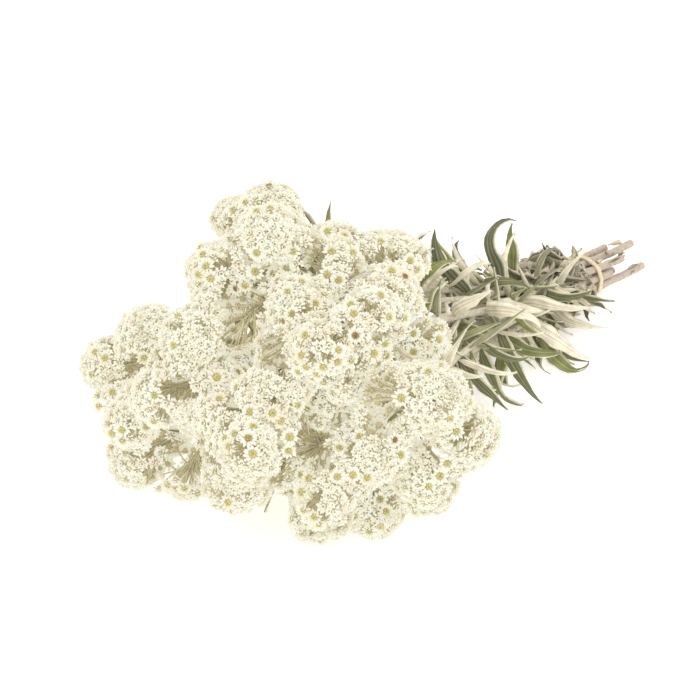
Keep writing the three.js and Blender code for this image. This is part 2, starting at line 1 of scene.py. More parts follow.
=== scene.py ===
"""A cut bunch of pearly everlasting, lying on its side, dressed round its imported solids.

The bunch is worked out in millimetres from its narrow waist, where x is 0, with the flower heads towards
-x and the surface at z = 0, by the same rules as the solids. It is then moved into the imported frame, in
metres.
"""

import math

import bpy
import numpy as np
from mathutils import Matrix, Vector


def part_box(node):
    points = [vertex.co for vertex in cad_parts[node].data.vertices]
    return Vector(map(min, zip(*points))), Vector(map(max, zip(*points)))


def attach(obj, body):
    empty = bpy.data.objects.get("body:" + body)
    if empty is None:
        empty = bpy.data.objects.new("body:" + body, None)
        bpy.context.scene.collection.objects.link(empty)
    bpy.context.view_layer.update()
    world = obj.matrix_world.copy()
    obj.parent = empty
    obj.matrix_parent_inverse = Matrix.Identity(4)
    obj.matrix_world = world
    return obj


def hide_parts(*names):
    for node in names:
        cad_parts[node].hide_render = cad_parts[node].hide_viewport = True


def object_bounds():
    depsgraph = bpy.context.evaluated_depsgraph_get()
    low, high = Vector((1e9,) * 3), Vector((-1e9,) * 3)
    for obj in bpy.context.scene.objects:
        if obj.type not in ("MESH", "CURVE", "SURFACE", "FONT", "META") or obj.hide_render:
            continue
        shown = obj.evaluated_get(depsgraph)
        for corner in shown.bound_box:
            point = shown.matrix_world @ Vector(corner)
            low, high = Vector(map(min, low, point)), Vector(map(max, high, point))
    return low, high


bl_info = {
    "name": "Pearly everlasting bunch",
    "version": (1, 0, 0),
    "blender": (4, 5, 0),
    "location": "View3D > Sidebar > Bunch",
    "description": "Flower heads, leafy stems, elastic band and stage of a bunch of pearly everlasting",
    "category": "Object",
}

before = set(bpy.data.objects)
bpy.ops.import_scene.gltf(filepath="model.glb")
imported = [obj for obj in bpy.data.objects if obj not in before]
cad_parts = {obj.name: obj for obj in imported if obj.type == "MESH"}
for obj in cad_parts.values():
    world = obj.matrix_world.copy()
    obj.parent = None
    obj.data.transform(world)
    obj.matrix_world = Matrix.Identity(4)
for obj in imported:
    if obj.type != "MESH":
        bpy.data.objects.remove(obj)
CAD_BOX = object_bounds()

# Sizes shared with the solids, in millimetres, with some shares and counts.
WAIST_HEIGHT = 19.0  # height of the bunch's middle at the waist
CUT_REACH = 88.0  # from the waist to the longest cut end
CUT_SPREAD = 40.0  # how unevenly the stems were cut
CUT_HEIGHT = 10.5  # height of the bunch's middle at the cut ends
STEM_RADIUS = 2.4  # at the cut end
TIP_RADIUS = 1.5  # under the corymb
STEM_PRESS = 0.8  # how far the lowest cut ends are flattened
STEM_GAP = 0.7  # air between neighbouring stems in the bundle
BRANCH_RADIUS = 1.2
FORK_DEPTH = 34.0  # how deep inside the corymb its stem forks
THREAD_STEPS = 24
THREAD_RADIUS = 4.6  # the room that a stem keeps round itself away from the waist
KNEE_STEPS = 4
KNEE_RADIUS = 3.3
NECK_LENGTH = 7.0  # the stem's last stretch, which belongs to the corymb
BAND_PLACE = 42.0  # from the waist towards the cut ends
BAND_WIDTH = 3.2
BAND_THICKNESS = 1.4
BAND_GAP = 0.45
BAND_SIDES = 16  # straight sides of the solid band
HEART = np.array([-150.0, 0.0, 62.0])  # the point that the flower heads face away from
CLUSTER_RADIUS = 18.6  # of a tuft of flower heads
CLUSTER_MERGE = 0.84  # how close tufts of one corymb come, as a share of their radii together
CLUSTER_VARIES = 2.5
CLUSTER_GAP = 0.8
CLUSTER_SPREAD = 20.0  # from the middle of a corymb to its outer tufts
MIDDLE_TUFT = 3  # the number of the tuft in the middle of a corymb of four
TUFT_STEP = 6.0  # how far the middle tuft stands out
SINK_BELOW = 5.0  # tufts that are this close to the surface sink onto it
SINK = 0.15
FLOOR_PRESS = 2.2  # how far the lowest tufts are pressed flat by the surface
LEAVES_PER_STEM = 9
LEAF_LENGTH = 51.0
LEAF_HALF_WIDTH = 5.0
LEAF_CLEAR = 2.9  # between the leaves of different stems

# How the layout settles, as in the solids: the share of what two balls lack that they are pushed, how
# strongly a thread evens out, at first and in the last rounds, and how many places on a stem and on a branch
# leaves keep clear of.
PUSH = 0.3
EASE = 0.3
LAST_EASE = 0.08
LAST_ROUNDS = 50
STEM_CHECKS = 61
BRANCH_CHECKS = 9

# Numbers of the looks alone: lengths in millimetres, angles in radians, shares and counts.
GOLDEN_TURN = 2.39996  # between neighbours on a spiral
TUFT_DOME = math.radians(120)  # how far round a tuft its clumps may stand
CLUMP_DOME = math.radians(98)  # how far round a clump its heads may stand
CLUMP_SPACING = 0.45  # how close clumps come, as a share of their radii together
HEAD_BLEND = 0.8  # how softly the clumps run together under the heads
CROWDED_SHARE = 0.84  # heads closer than this share of their spacing are left out
STALK_RADIUS = 0.45
COIL_STEPS = 96  # of the sums along a midrib
COIL_FROM = 0.4  # where along a leaf its tip begins to roll up
LEAST_CURL = 1e-3  # a straighter midrib gets this curl
STEM_SIDES = 12
STEM_STEPS = 90
STEM_LOBES = 5  # waves round a stem
KNOT_SPACING = 9.0  # between the knots on a stem
BRANCH_LEAVES = 9  # long leaves tried among a stem's branches
CREVICE_DRAWS = 80  # long leaves tried between the tufts
SIDE_RIB = 0.42  # where a leaf's side ribs run, as a share of its half width
LOOP_GAP = 0.15  # air between the drawn loop and the stems
LOOP_STEPS = 64  # places round the drawn loop
LOOP_SIDES = 12  # of the drawn loop's section
LOOP_WAVES = 5  # how often the drawn loop's edges waver in one round
FAR_AWAY = 999.0  # keeps a place from pushing itself

# Each stem's corymb: how far it reaches from the waist, how far to the side it lies, how high, and its tufts.
CORYMBS = np.array([
    (218, 12, 120, 4),
    (184, 38, 121, 2),
    (180, 0, 113, 3),
    (184, -28, 100, 4),
    (224, -52, 110, 4),
    (242, 63, 57, 4),
    (254, 0, 84, 4),
    (247, 48, 27, 4),
    (254, -32, 80, 4),
    (204, -56, 24, 4),
    (232, -66, 52, 4),
    (203, -94, 72, 3),
    (170, 58, 80, 3),
    (194, 6, 18, 3),
], float)
STEMS = len(CORYMBS)
UP = np.array([0.0, 0.0, 1.0])
ALONG_X = np.array([1.0, 0.0, 0.0])


def draw(a, b):
    """A repeatable number from 0 to 1 for each pair of numbers: the fraction of a large sine."""
    x = np.sin(np.asarray(a, float) * 127.1 + np.asarray(b, float) * 311.7) * 43758.5453
    return x - np.floor(x)


def unit(v):
    """v divided by its own length."""
    return v / np.maximum(np.linalg.norm(v, axis=-1, keepdims=True), 1e-12)


def mix(a, b, t):
    """A straight mix: a at t = 0 and b at t = 1."""
    return a + (b - a) * t


def smooth(x, low, high):
    """0 below low, 1 above high, and 3t^2 - 2t^3 between."""
    t = np.clip((x - low) / (high - low), 0, 1)
    return t * t * (3 - 2 * t)


def bent_up(z, top, least):
    """Heights below top bent to stay over least: least + d e^((z - top) / d), where d = top - least."""
    depth = top - least
    return np.where(z < top, least + depth * np.exp(np.minimum(z - top, 0) / depth), z)


def nearest(a, b):
    """The least distance between a place of a and a place of b."""
    return np.linalg.norm(a[:, None] - b, axis=2).min()


def square_to(d):
    """Two unit directions square to d and to each other: e = side x d, and f = d x e."""
    side = np.where(np.abs(d[..., 2:3]) < 0.9, UP, ALONG_X)
    e = unit(np.cross(side, d))
    return e, np.cross(d, e)


def round_way(e, f, turn):
    """The direction turned from e towards f: cos(turn) e + sin(turn) f."""
    turn = np.asarray(turn)[..., None]
    return np.cos(turn) * e + np.sin(turn) * f


def turned(d, e, f, tilt, turn):
    """The direction at an angle tilt from d, turned round it: cos(tilt) d + sin(tilt) times the way round."""
    tilt = np.asarray(tilt)[..., None]
    return np.cos(tilt) * d + np.sin(tilt) * round_way(e, f, turn)


def bezier(p, t):
    """The cubic Bezier curve through p0 and p3 with handles p1 and p2."""
    t = np.asarray(t, float)[..., None]
    s = 1 - t
    return p[0] * s**3 + 3 * p[1] * s * s * t + 3 * p[2] * s * t * t + p[3] * t**3


def spline(points, t):
    """The centripetal Catmull-Rom curve through points, at t from 0 to 1."""
    points = np.asarray(points, float)
    last = len(points) - 1
    x = np.asarray(t, float) * last
    k = np.clip(np.floor(x).astype(int), 0, last - 1)
    u = (x - k)[..., None]
    fat = np.vstack([2 * points[0] - points[1], points, 2 * points[-1] - points[-2]])
    p0, p1, p2, p3 = (fat[k + n] for n in range(4))
    d0, d1, d2 = (
        np.sqrt(np.linalg.norm(b - a, axis=-1, keepdims=True)) for a, b in ((p0, p1), (p1, p2), (p2, p3))
    )
    m1 = ((p1 - p0) / d0 - (p2 - p0) / (d0 + d1) + (p2 - p1) / d1) * d1
    m2 = ((p2 - p1) / d1 - (p3 - p1) / (d1 + d2) + (p3 - p2) / d2) * d1
    c2 = -3 * p1 + 3 * p2 - 2 * m1 - m2
    c3 = 2 * p1 - 2 * p2 + m1 + m2
    return p1 + u * (m1 + u * (c2 + u * c3))


def settle(balls, rounds, pull, press):
    """Balls that come too close push each other apart by a share of what they lack, and a pull draws each one
    home at first. Balls of one thread don't push each other, apart from tufts, and one with two neighbours is
    drawn between them."""
    at, radius = balls["at"].copy(), balls["radius"]
    thread, tuft = balls["thread"], balls["tuft"]
    before, after, fixed = balls["before"], balls["after"], balls["fixed"]
    home = at.copy()
    apart_only = (thread[:, None] != thread) | (tuft[:, None] & tuft)
    np.fill_diagonal(apart_only, False)
    i, j = np.nonzero(apart_only)
    reach = (radius[i] + radius[j]) * np.where(thread[i] == thread[j], CLUSTER_MERGE, 1)
    held = before >= 0
    for n in range(rounds):
        gap = at[i] - at[j]
        far = np.linalg.norm(gap, axis=1)
        near = far < reach
        push = PUSH * (reach[near] - far[near]) / far[near]
        moves = np.zeros_like(at)
        for axis in range(3):
            moves[:, axis] = np.bincount(i[near], push * gap[near, axis], len(at))
        ease = EASE if n < rounds - LAST_ROUNDS else LAST_EASE
        moves[held] += ease * (at[before[held]] + at[after[held]] - 2 * at[held])
        if n < rounds / 2:
            moves += pull * (home - at)
        moves[tuft & (at[:, 2] < radius + SINK_BELOW), 2] -= SINK
        at[~fixed] += moves[~fixed]
        floor = np.maximum(at[:, 2], radius - press)
        at[~fixed, 2] = floor[~fixed]
    return at


def balls_of(at, radius, thread, tuft=False):
    """A table of free balls."""
    n = len(at)
    none = np.full(n, -1)
    return {
        "at": np.asarray(at, float),
        "radius": np.broadcast_to(radius, n).astype(float),
        "thread": np.asarray(thread),
        "tuft": np.full(n, tuft),
        "before": none.copy(),
        "after": none.copy(),
        "fixed": np.zeros(n, bool),
    }


def lay_out_tufts():
    """Tufts of flower heads: one in the middle of a corymb and the others on a ring round it, pushed
    apart."""
    count = CORYMBS[:, 3].astype(int)
    i = np.repeat(np.arange(STEMS), count)
    k = np.concatenate([np.arange(c) for c in count])
    middle = CORYMBS[i, :3] * (-1, 1, 1)
    out = unit(middle - HEART)
    e, f = square_to(out)
    turn = draw(i, 1) * 2 * np.pi + k * 2 * np.pi / np.minimum(count[i], MIDDLE_TUFT)
    ring = np.where(k == MIDDLE_TUFT, 0, CLUSTER_SPREAD * (0.85 + 0.3 * draw(i, 10 + k)))[:, None]
    ahead = np.where(k == MIDDLE_TUFT, TUFT_STEP, -TUFT_STEP * draw(i, 20 + k))[:, None]
    at = middle + ring * round_way(e, f, turn) + ahead * out
    radius = CLUSTER_RADIUS + CLUSTER_VARIES * (2 * draw(i, 30 + k) - 1)
    at = settle(balls_of(at, radius + CLUSTER_GAP / 2, i, True), 120, 0.03, FLOOR_PRESS)
    return {"stem": i, "at": at, "radius": radius}


def pack_section(places, press):
    """The stems' places on a section of the bundle square to x: balls as thick as a stem, pushed apart."""
    at = settle(balls_of(places, STEM_RADIUS + STEM_GAP / 2, np.arange(STEMS)), 200, 0.05, press)
    at[:, 0] = places[0, 0]
    return at


def lay_out_stems(tufts):
    """Stems and branches as threads of balls, bent clear of the tufts and of each other."""
    across, height = CORYMBS[:, 1], CORYMBS[:, 2]
    waist = pack_section(
        np.stack([0 * across, 0.08 * across, WAIST_HEIGHT + 0.11 * (height - 78)], 1), 0
    )
    cut = pack_section(
        np.stack(
            [0 * across + CUT_REACH, 1.15 * waist[:, 1], CUT_HEIGHT + 0.8 * (waist[:, 2] - WAIST_HEIGHT)], 1
        ),
        STEM_PRESS,
    )
    steps = np.arange(THREAD_STEPS + 1) / THREAD_STEPS
    thread_radius = mix(STEM_RADIUS + STEM_GAP / 2, THREAD_RADIUS, smooth(steps, 0, 0.35))
    own = [np.nonzero(tufts["stem"] == i)[0] for i in range(STEMS)]
    at, radius, thread = list(tufts["at"]), list(tufts["radius"] + CLUSTER_GAP / 2), list(tufts["stem"])
    before, after, fixed = [-1] * len(at), [-1] * len(at), [False] * len(at)
    stems = []
    for i in range(STEMS):
        middle = tufts["at"][own[i]].mean(0)
        out = unit(middle - HEART)
        top = middle - FORK_DEPTH * out + (10, 0, 0)
        span = np.linalg.norm(waist[i] - top)
        course = [
            waist[i],
            waist[i] - (0.42 * span, 0, 0),
            top - 0.22 * span * out + (0.12 * span, 0, 0),
            top,
        ]
        first = len(at)
        last = first + THREAD_STEPS
        at += list(bezier(course, steps))
        radius += list(thread_radius)
        thread += [i] * len(steps)
        before += [-1] + list(range(first, last - 1)) + [-1]
        after += [-1] + list(range(first + 2, last + 1)) + [-1]
        fixed += [True] + [False] * THREAD_STEPS
        knees = []
        for t in own[i]:
            knee = top + 11 * out
            path = [top, knee, mix(tufts["at"][t], knee, 0.3)]
            here = len(at)
            for n in range(1, KNEE_STEPS):
                s = n / KNEE_STEPS
                at.append(path[0] * (1 - s) ** 2 + 2 * path[1] * s * (1 - s) + path[2] * s * s)
                radius.append(KNEE_RADIUS + 2.4 * s)
                thread.append(i)
                before.append(last if n == 1 else here + n - 2)
                after.append(t if n == KNEE_STEPS - 1 else here + n)
                fixed.append(False)
            knees.append(list(range(here, here + KNEE_STEPS - 1)))
        handle = np.array([0.3 * CUT_REACH, 0, 0])
        tail = [cut[i], cut[i] - handle, waist[i] + handle, waist[i]]
        start = -1 + CUT_SPREAD / CUT_REACH * draw(i, 2)
        stems.append({
            "tail": tail,
            "thread": slice(first, last + 1),
            "out": out,
            "own": own[i],
            "knees": knees,
            "start": float(start),
        })
    balls = balls_of(at, 1, thread)
    balls["radius"] = np.array(radius)
    balls["tuft"] = np.arange(len(at)) < len(tufts["at"])
    balls["before"], balls["after"], balls["fixed"] = np.array(before), np.array(after), np.array(fixed)
    at = settle(balls, 200, 0.02, FLOOR_PRESS)
    tufts["at"] = at[: len(tufts["at"])]
    tufts["axis"] = np.zeros_like(tufts["at"])
    tufts["branch"] = [None] * len(tufts["at"])
    for stem in stems:
        stem["thread"] = at[stem["thread"]]
        stem["top"] = stem["thread"][-1]
        for t, knees in zip(stem["own"], stem["knees"]):
            axis = unit(tufts["at"][t] - at[knees[-1]])
            tufts["axis"][t] = axis
            end = tufts["at"][t] - 0.1 * tufts["radius"][t] * axis
            tufts["branch"][t] = np.vstack([stem["top"], at[knees], end])
        w = 1.0
        while np.linalg.norm(stem_point(stem, w) - stem["top"]) < NECK_LENGTH:
            w -= 0.002
        stem["neck"] = w
    return stems


def stem_point(stem, w):
    """A stem's middle line at w, from -1 at the longest cut end through 0 at the waist to 1 at its top: a
    Bezier curve below the waist, and a Catmull-Rom curve above it."""
    w = np.asarray(w, float)
    low = bezier(stem["tail"], np.clip(1 + w, 0, 1))
    high = spline(stem["thread"], np.clip(w, 0, 1))
    return np.where((w < 0)[..., None], low, high)


def stem_radius(w):
    """The stem's radius, in a straight mix from cut end to top."""
    return mix(STEM_RADIUS, TIP_RADIUS, (np.asarray(w) + 1) / 2)


def leaf_outline(s):
    """Half width of a lance-shaped leaf at s from foot to tip, as a share of the widest: a leaning sine
    arch."""
    s = np.clip(s, 0, 1)
    return 0.16 + 0.84 * np.abs(np.sin(np.pi * s**0.72)) ** 0.9 - 0.16 * s


def coiled_midrib(leaf, s):
    """How far along and out a midrib is at s, and its angle there, where the tip rolls up: the angle from the
    stem is lift + curl s, and past s = COIL_FROM also coil (s - COIL_FROM)^1.5. The places are the sums of
    the directions."""
    t = np.arange(COIL_STEPS + 1) / COIL_STEPS
    angle = leaf["lift"] + leaf["curl"] * t + leaf["coil"] * np.maximum(t - COIL_FROM, 0) ** 1.5
    mean = (angle[1:] + angle[:-1]) / 2
    ahead = np.concatenate([[0], np.cumsum(np.cos(mean))]) * leaf["length"] / COIL_STEPS
    rise = np.concatenate([[0], np.cumsum(np.sin(mean))]) * leaf["length"] / COIL_STEPS
    return np.interp(s, t, ahead), np.interp(s, t, rise), np.interp(s, t, angle)


def leaf_point(leaf, s, v):
    """A leaf's middle surface at s along it and v across, from -1 to 1. The midrib is a circular arc that
    starts at the angle lift from the stem and turns by curl, or has its tip rolled up further. The blade
    twists with s, folds with v^2, ripples at its edges, sways to the side as s sin(5.5 s) and droops with
    s^2. What would come under the surface is bent to lie on it."""
    s, v = np.broadcast_arrays(np.asarray(s, float), np.asarray(v, float))
    bend = leaf["curl"] if abs(leaf["curl"]) > LEAST_CURL else LEAST_CURL
    lift, length = leaf["lift"], leaf["length"]
    along, out = leaf["along"], leaf["out"]
    if "coil" in leaf:
        reach, rise, angle = coiled_midrib(leaf, s)
    else:
        angle = lift + bend * s
        reach = length * (np.sin(angle) - math.sin(lift)) / bend
        rise = length * (math.cos(lift) - np.cos(angle)) / bend
    angle = angle[..., None]
    p = leaf["foot"] + along * reach[..., None] + out * rise[..., None]
    ahead = along * np.cos(angle) + out * np.sin(angle)
    face = out * np.cos(angle) - along * np.sin(angle)
    flank = np.cross(ahead, face)
    turn = (leaf["twist"] * s)[..., None]
    side = flank * np.cos(turn) + face * np.sin(turn)
    up = face * np.cos(turn) - flank * np.sin(turn)
    half = leaf["width"] * leaf_outline(s)
    ripple = np.sin(leaf["phase"] + 11 * s + np.where(v > 0, 1.5, 0)) * leaf["wave"] * np.abs(v)
    p = p + side * (v * half)[..., None] + up * (half * (leaf["fold"] * v * v + ripple))[..., None]
    if "sway" in leaf:
        swing = leaf["sway"] * length * s * np.sin(5.5 * s + leaf["phase"])
        p = p + side * swing[..., None]
    p[..., 2] = bent_up(p[..., 2] - leaf["droop"] * length * s * s, 3, 1)
    return p


def make_leaf(stem, i, k, turn, size):
    """The k-th leaf of stem i: its foot on the stem, its directions, and its draws for size and shape."""
    share = (k + 0.5 + 0.6 * (draw(i, 40 + k) - 0.5)) / LEAVES_PER_STEM
    w = -0.45 + 1.27 * share
    core = stem_point(stem, w)
    along = unit(stem_point(stem, min(w + 0.03, 1)) - stem_point(stem, w - 0.03))
    outward = core - (core[0], 0, mix(WAIST_HEIGHT, 70, max(w, 0)))
    outward = outward - along * (outward @ along)
    if np.linalg.norm(outward) < 1:
        outward = UP
    outward = unit(outward)
    around = np.cross(along, outward)
    angle = turn + math.radians(70) * (2 * draw(i, 60 + k) - 1)
    out = outward * np.cos(angle) + around * np.sin(angle)
    low = np.clip((0.45 - share) / 0.3, 0, 1)
    small = 1 - 0.6 * max(0, share - 0.6) - 0.3 * low
    lift, curl, droop = draw(i, 120 + k), draw(i, 140 + k), draw(i, 240 + k)
    return {
        "stem": i,
        "key": k,
        "low": float(low),
        "foot": core + out * 0.45 * stem_radius(w),
        "along": along,
        "out": out,
        "length": LEAF_LENGTH * size * small * (0.75 + 0.5 * draw(i, 80 + k)),
        "width": LEAF_HALF_WIDTH * math.sqrt(size) * small * (0.8 + 0.4 * draw(i, 100 + k)),
        "lift": math.radians(mix(18 + 42 * lift, 14 + 24 * lift, low)),
        "curl": mix(0.3 + 2 * curl, -1.1 + 0.7 * curl, low),
        "twist": 1.6 * (2 * draw(i, 160 + k) - 1),
        "fold": 0.2 + 0.4 * draw(i, 180 + k),
        "wave": 0.1 + 0.2 * draw(i, 200 + k) + 0.15 * low,
        "phase": 6 * draw(i, 220 + k),
        "droop": mix(0.05 + 0.3 * droop, 0.03, low),
    }


# The poses that a leaf tries: turns round its stem, and how much farther it lifts.
TURNS = np.radians([0, 25, -25, 50, -50, 75, -75, 100, -100, 130, -130, 160])
LIFTS = np.radians([0, 14, 28])


def grow_leaves(stems, tufts):
    """Each leaf takes its first pose that keeps clear of the other stems, the tufts and the leaves before
    it."""
    w = -1 + 2 * np.arange(STEM_CHECKS) / (STEM_CHECKS - 1)
    at = [stem_point(stem, w) for stem in stems]
    clear = [stem_radius(w) + 1.3 for _ in stems]
    owner = [np.full(STEM_CHECKS, i) for i in range(STEMS)]
    t = np.arange(BRANCH_CHECKS) / (BRANCH_CHECKS - 1)
    at += [spline(branch, t) for branch in tufts["branch"]]
    clear += [np.full(BRANCH_CHECKS, BRANCH_RADIUS + 1.5) for _ in tufts["branch"]]
    at.append(tufts["at"])
    clear.append(tufts["radius"] + 1)
    at, clear = np.vstack(at), np.concatenate(clear)
    owner = np.concatenate(owner + [np.full(len(at) - STEM_CHECKS * STEMS, -1)])
    s, v = np.meshgrid(np.arange(2, 13) / 12, np.arange(-2, 3) / 2, indexing="ij")
    taken, grown = [], []

    def pose(stem, i, k):
        for size in (1, 0.78, 0.56):
            for turn in TURNS:
                for lift in LIFTS:
                    leaf = make_leaf(stem, i, k, turn, size)
                    leaf["lift"] += lift
                    leaf["curl"] -= 1.6 * lift
                    places = leaf_point(leaf, s, v).reshape(-1, 3)
                    if places[:, 0].max() >= BAND_PLACE - BAND_WIDTH:
                        continue
                    middle = leaf_point(leaf, 0.5, 0)
                    reach = np.linalg.norm(places - middle, axis=1).max()
                    near = (owner != i) & (np.linalg.norm(at - middle, axis=1) < reach + clear)
                    gaps = np.linalg.norm(places[:, None] - at[near], axis=2)
                    if (gaps <= clear[near]).any():
                        continue
                    others = [
                        t for t in taken
                        if t[0] != i and np.linalg.norm(t[2] - middle) < reach + t[3] + LEAF_CLEAR
                    ]
                    if any(nearest(places, t[1]) <= LEAF_CLEAR for t in others):
                        continue
                    return leaf, (i, places, middle, reach)
        return None

    for i, stem in enumerate(stems):
        for k in range(LEAVES_PER_STEM):
            found = pose(stem, i, k)
            if found:
                grown.append(found[0])
                taken.append(found[1])
    return grown


# Meshes


class Heap:
    """The vertices, triangles, tints, map places and material numbers of the shapes that make up one
    piece."""

    def __init__(self):
        self.co, self.tri, self.tint, self.uv, self.mat, self.soft = [], [], [], [], [], []
        self.count = 0

    def add(self, co, tri, tint, mat, uv=None, soft=True):
        """Adds one shape. co is in millimetres from the waist; tint is one colour, or one for each vertex."""
        co = np.asarray(co, float).reshape(-1, 3)
        tri = np.asarray(tri, int).reshape(-1, 3)
        self.co.append(co)
        self.tri.append(tri + self.count)
        self.tint.append(np.broadcast_to(np.asarray(tint, float).reshape(-1, 3), co.shape))
        self.uv.append(np.zeros((len(co), 2)) if uv is None else np.asarray(uv, float).reshape(-1, 2))
        self.mat.append(np.full(len(tri), mat))
        self.soft.append(np.full(len(tri), soft))
        self.count += len(co)

    def piece(self, name, materials, shift):
        """The Blender object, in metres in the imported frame, with its place in its mesh."""
        co = (np.vstack(self.co) + shift) / 1000
        tri = np.vstack(self.tri)
        flat = np.linalg.norm(
            np.cross(co[tri[:, 1]] - co[tri[:, 0]], co[tri[:, 2]] - co[tri[:, 0]]), axis=1
        ) > 1e-13
        tri, mat, soft = tri[flat], np.concatenate(self.mat)[flat], np.concatenate(self.soft)[flat]
        mesh = bpy.data.meshes.new(name)
        mesh.vertices.add(len(co))
        mesh.vertices.foreach_set("co", co.astype(np.float32).ravel())
        mesh.loops.add(tri.size)
        mesh.loops.foreach_set("vertex_index", tri.astype(np.int32).ravel())
        mesh.polygons.add(len(tri))
        mesh.polygons.foreach_set("loop_start", np.arange(0, tri.size, 3, dtype=np.int32))
        mesh.polygons.foreach_set("material_index", mat.astype(np.int32))
        mesh.polygons.foreach_set("use_smooth", soft)
        tint = mesh.attributes.new("tint", "FLOAT_COLOR", "POINT")
        tint.data.foreach_set(
            "color", np.hstack([np.vstack(self.tint), np.ones((len(co), 1))]).astype(np.float32).ravel()
        )
        uv = mesh.uv_layers.new(name="UVMap")
        uv.data.foreach_set("uv", np.vstack(self.uv)[tri.ravel()].astype(np.float32).ravel())
        for material in materials:
            mesh.materials.append(material)
        mesh.update(calc_edges=True)
        thing = bpy.data.objects.new(name, mesh)
        bpy.context.scene.collection.objects.link(thing)
        return thing


def above_surface(co):
    """Bends what would come under the surface to lie just over it."""
    co[..., 2] = bent_up(co[..., 2], 2, 0.25)
    return co


def quads(a, b, c, d):
    """The two triangles of each quad: all of a b c, then all of a c d."""
    return np.concatenate([np.stack([a, b, c], -1).reshape(-1, 3), np.stack([a, c, d], -1).reshape(-1, 3)])


def tubes(paths, radii, sides, lobes=0.0):
    """Rods along paths: each path point carries a ring of the given radius square to the path, closed by a
    fan at both ends. lobes is how deep the ring's waves are, as a share of the radius. Returns places,
    triangles and map places, u round the rod and v along it in millimetres."""
    paths = np.asarray(paths, float)
    number, steps = paths.shape[:2]
    ahead = unit(np.gradient(paths, axis=1))
    whole = unit(paths[:, -1] - paths[:, 0])[:, None]
    side = np.where(np.abs(whole[..., 2:3]) < 0.7, UP, ALONG_X)
    e = unit(np.cross(side, ahead))
    f = np.cross(ahead, e)
    turn = np.arange(sides) * 2 * np.pi / sides
    radii = np.broadcast_to(radii, (number, steps))[..., None] * (1 + lobes * np.cos(STEM_LOBES * turn))
    co = paths[:, :, None] + round_way(e[:, :, None], f[:, :, None], turn) * radii[..., None]
    index = np.arange(number * steps * sides).reshape(number, steps, sides)
    a, b = index[:, :-1], index[:, 1:]
    walls = quads(a, np.roll(a, -1, 2), np.roll(b, -1, 2), b)
    fan = np.arange(1, sides - 1)
    foot = np.stack([index[:, 0, :1] + 0 * fan, index[:, 0, fan + 1], index[:, 0, fan]], -1)
    head = np.stack([index[:, -1, :1] + 0 * fan, index[:, -1, fan], index[:, -1, fan + 1]], -1)
    tri = np.concatenate([walls, foot.reshape(-1, 3), head.reshape(-1, 3)])
    far = np.cumsum(np.linalg.norm(np.diff(paths, axis=1), axis=2), axis=1)
    far = np.concatenate([np.zeros((number, 1)), far], 1)
    u = np.broadcast_to(np.arange(sides) / sides, (number, steps, sides))
    uv = np.stack([u, np.broadcast_to(far[..., None], u.shape)], -1)
    return co.reshape(-1, 3), tri, uv.reshape(-1, 2)


# Flower heads

# Rows of bracts for each age of head, from the innermost out: how many, the radius and height where they
# stand, the angles in degrees from the head's axis of their lower and upper part, their length and half
# width. Lengths are shares of the head's reach.
OPEN_ROWS = [
    (10, 0.34, 0.50, 40, 70, 0.66, 0.15),
    (11, 0.34, 0.40, 60, 88, 0.74, 0.16),
    (8, 0.30, 0.26, 78, 104, 0.64, 0.17),
]
HALF_ROWS = [
    (5, 0.20, 0.84, 12, 46, 0.54, 0.25),
    (7, 0.38, 0.64, 34, 66, 0.80, 0.26),
    (8, 0.44, 0.36, 60, 92, 0.84, 0.25),
]
BUD_ROWS = [
    (4, 0.46, 0.95, -12, -40, 0.74, 0.40),
    (5, 0.62, 0.62, 10, -10, 0.86, 0.40),
    (6, 0.60, 0.30, 34, 14, 0.76, 0.34),
]

# Turned bodies of a head, as pairs of radius and height in shares of its reach: the woolly cup under its
# bracts, and the disc of florets in it.
OPEN_CUP = [(0, 0), (0.24, 0.03), (0.44, 0.30), (0, 0.48)]
HALF_CUP = [(0, 0), (0.46, 0.22), (0.46, 0.66), (0, 0.68)]
BUD_CUP = [(0, 0), (0.58, 0.28), (0.58, 0.92), (0, 1.2)]
OPEN_DISC = [(0, 0.46), (0.34, 0.50), (0.34, 0.60), (0.20, 0.67), (0, 0.60)]
HALF_DISC = [(0, 0.64), (0.15, 0.80), (0, 0.94)]

# The triangles of a bract, and each corner's share from foot to tip and map place. The corners are a foot,
# two edges, an inner and an outer middle, and a tip. A plain bract has no middles, and its outer side is
# keeled.
FULL_BRACT = {
    "kite": [(0, 3, 1), (0, 2, 3), (3, 5, 1), (3, 2, 5), (0, 1, 4), (0, 4, 2), (4, 1, 5), (4, 5, 2)],
    "share": [0, 0.55, 0.55, 0.5, 0.5, 1.0],
    "map": [(0.5, 0), (0, 0.55), (1, 0.55), (0.5, 0.5), (0.5, 0.5), (0.5, 1)],
}
PLAIN_BRACT = {
    "kite": [(0, 2, 1), (1, 2, 3), (0, 1, 3), (0, 3, 2)],
    "share": [0, 0.55, 0.55, 1.0],
    "map": [(0.5, 0), (0, 0.55), (1, 0.55), (0.5, 1)],
}


def swell(p, at, radius, soft):
    """How far p is outside a soft union of balls, F = -k log sum exp(-(|p - C| - R) / k), and F's slope."""
    gap = p[:, None] - at
    far = np.linalg.norm(gap, axis=2)
    depth = far - radius
    least = depth.min(1, keepdims=True)
    weight = np.exp((least - depth) / soft)
    total = weight.sum(1, keepdims=True)
    slope = (gap * (weight / far)[..., None]).sum(1) / total
    return least[:, 0] - soft * np.log(total[:, 0]), slope


def spread(place, reach, rounds, settle_on):
    """Places that stand closer than reach push each other apart by a quarter of what they lack, and settle_on
    draws them back after each round."""
    for _ in range(rounds):
        gap = place[:, None] - place
        far = np.linalg.norm(gap, axis=2) + np.eye(len(place)) * FAR_AWAY
        push = np.maximum(reach - far, 0) / far
        place = settle_on(place + 0.25 * np.einsum("ijk,ij->ik", gap, push))
    return place


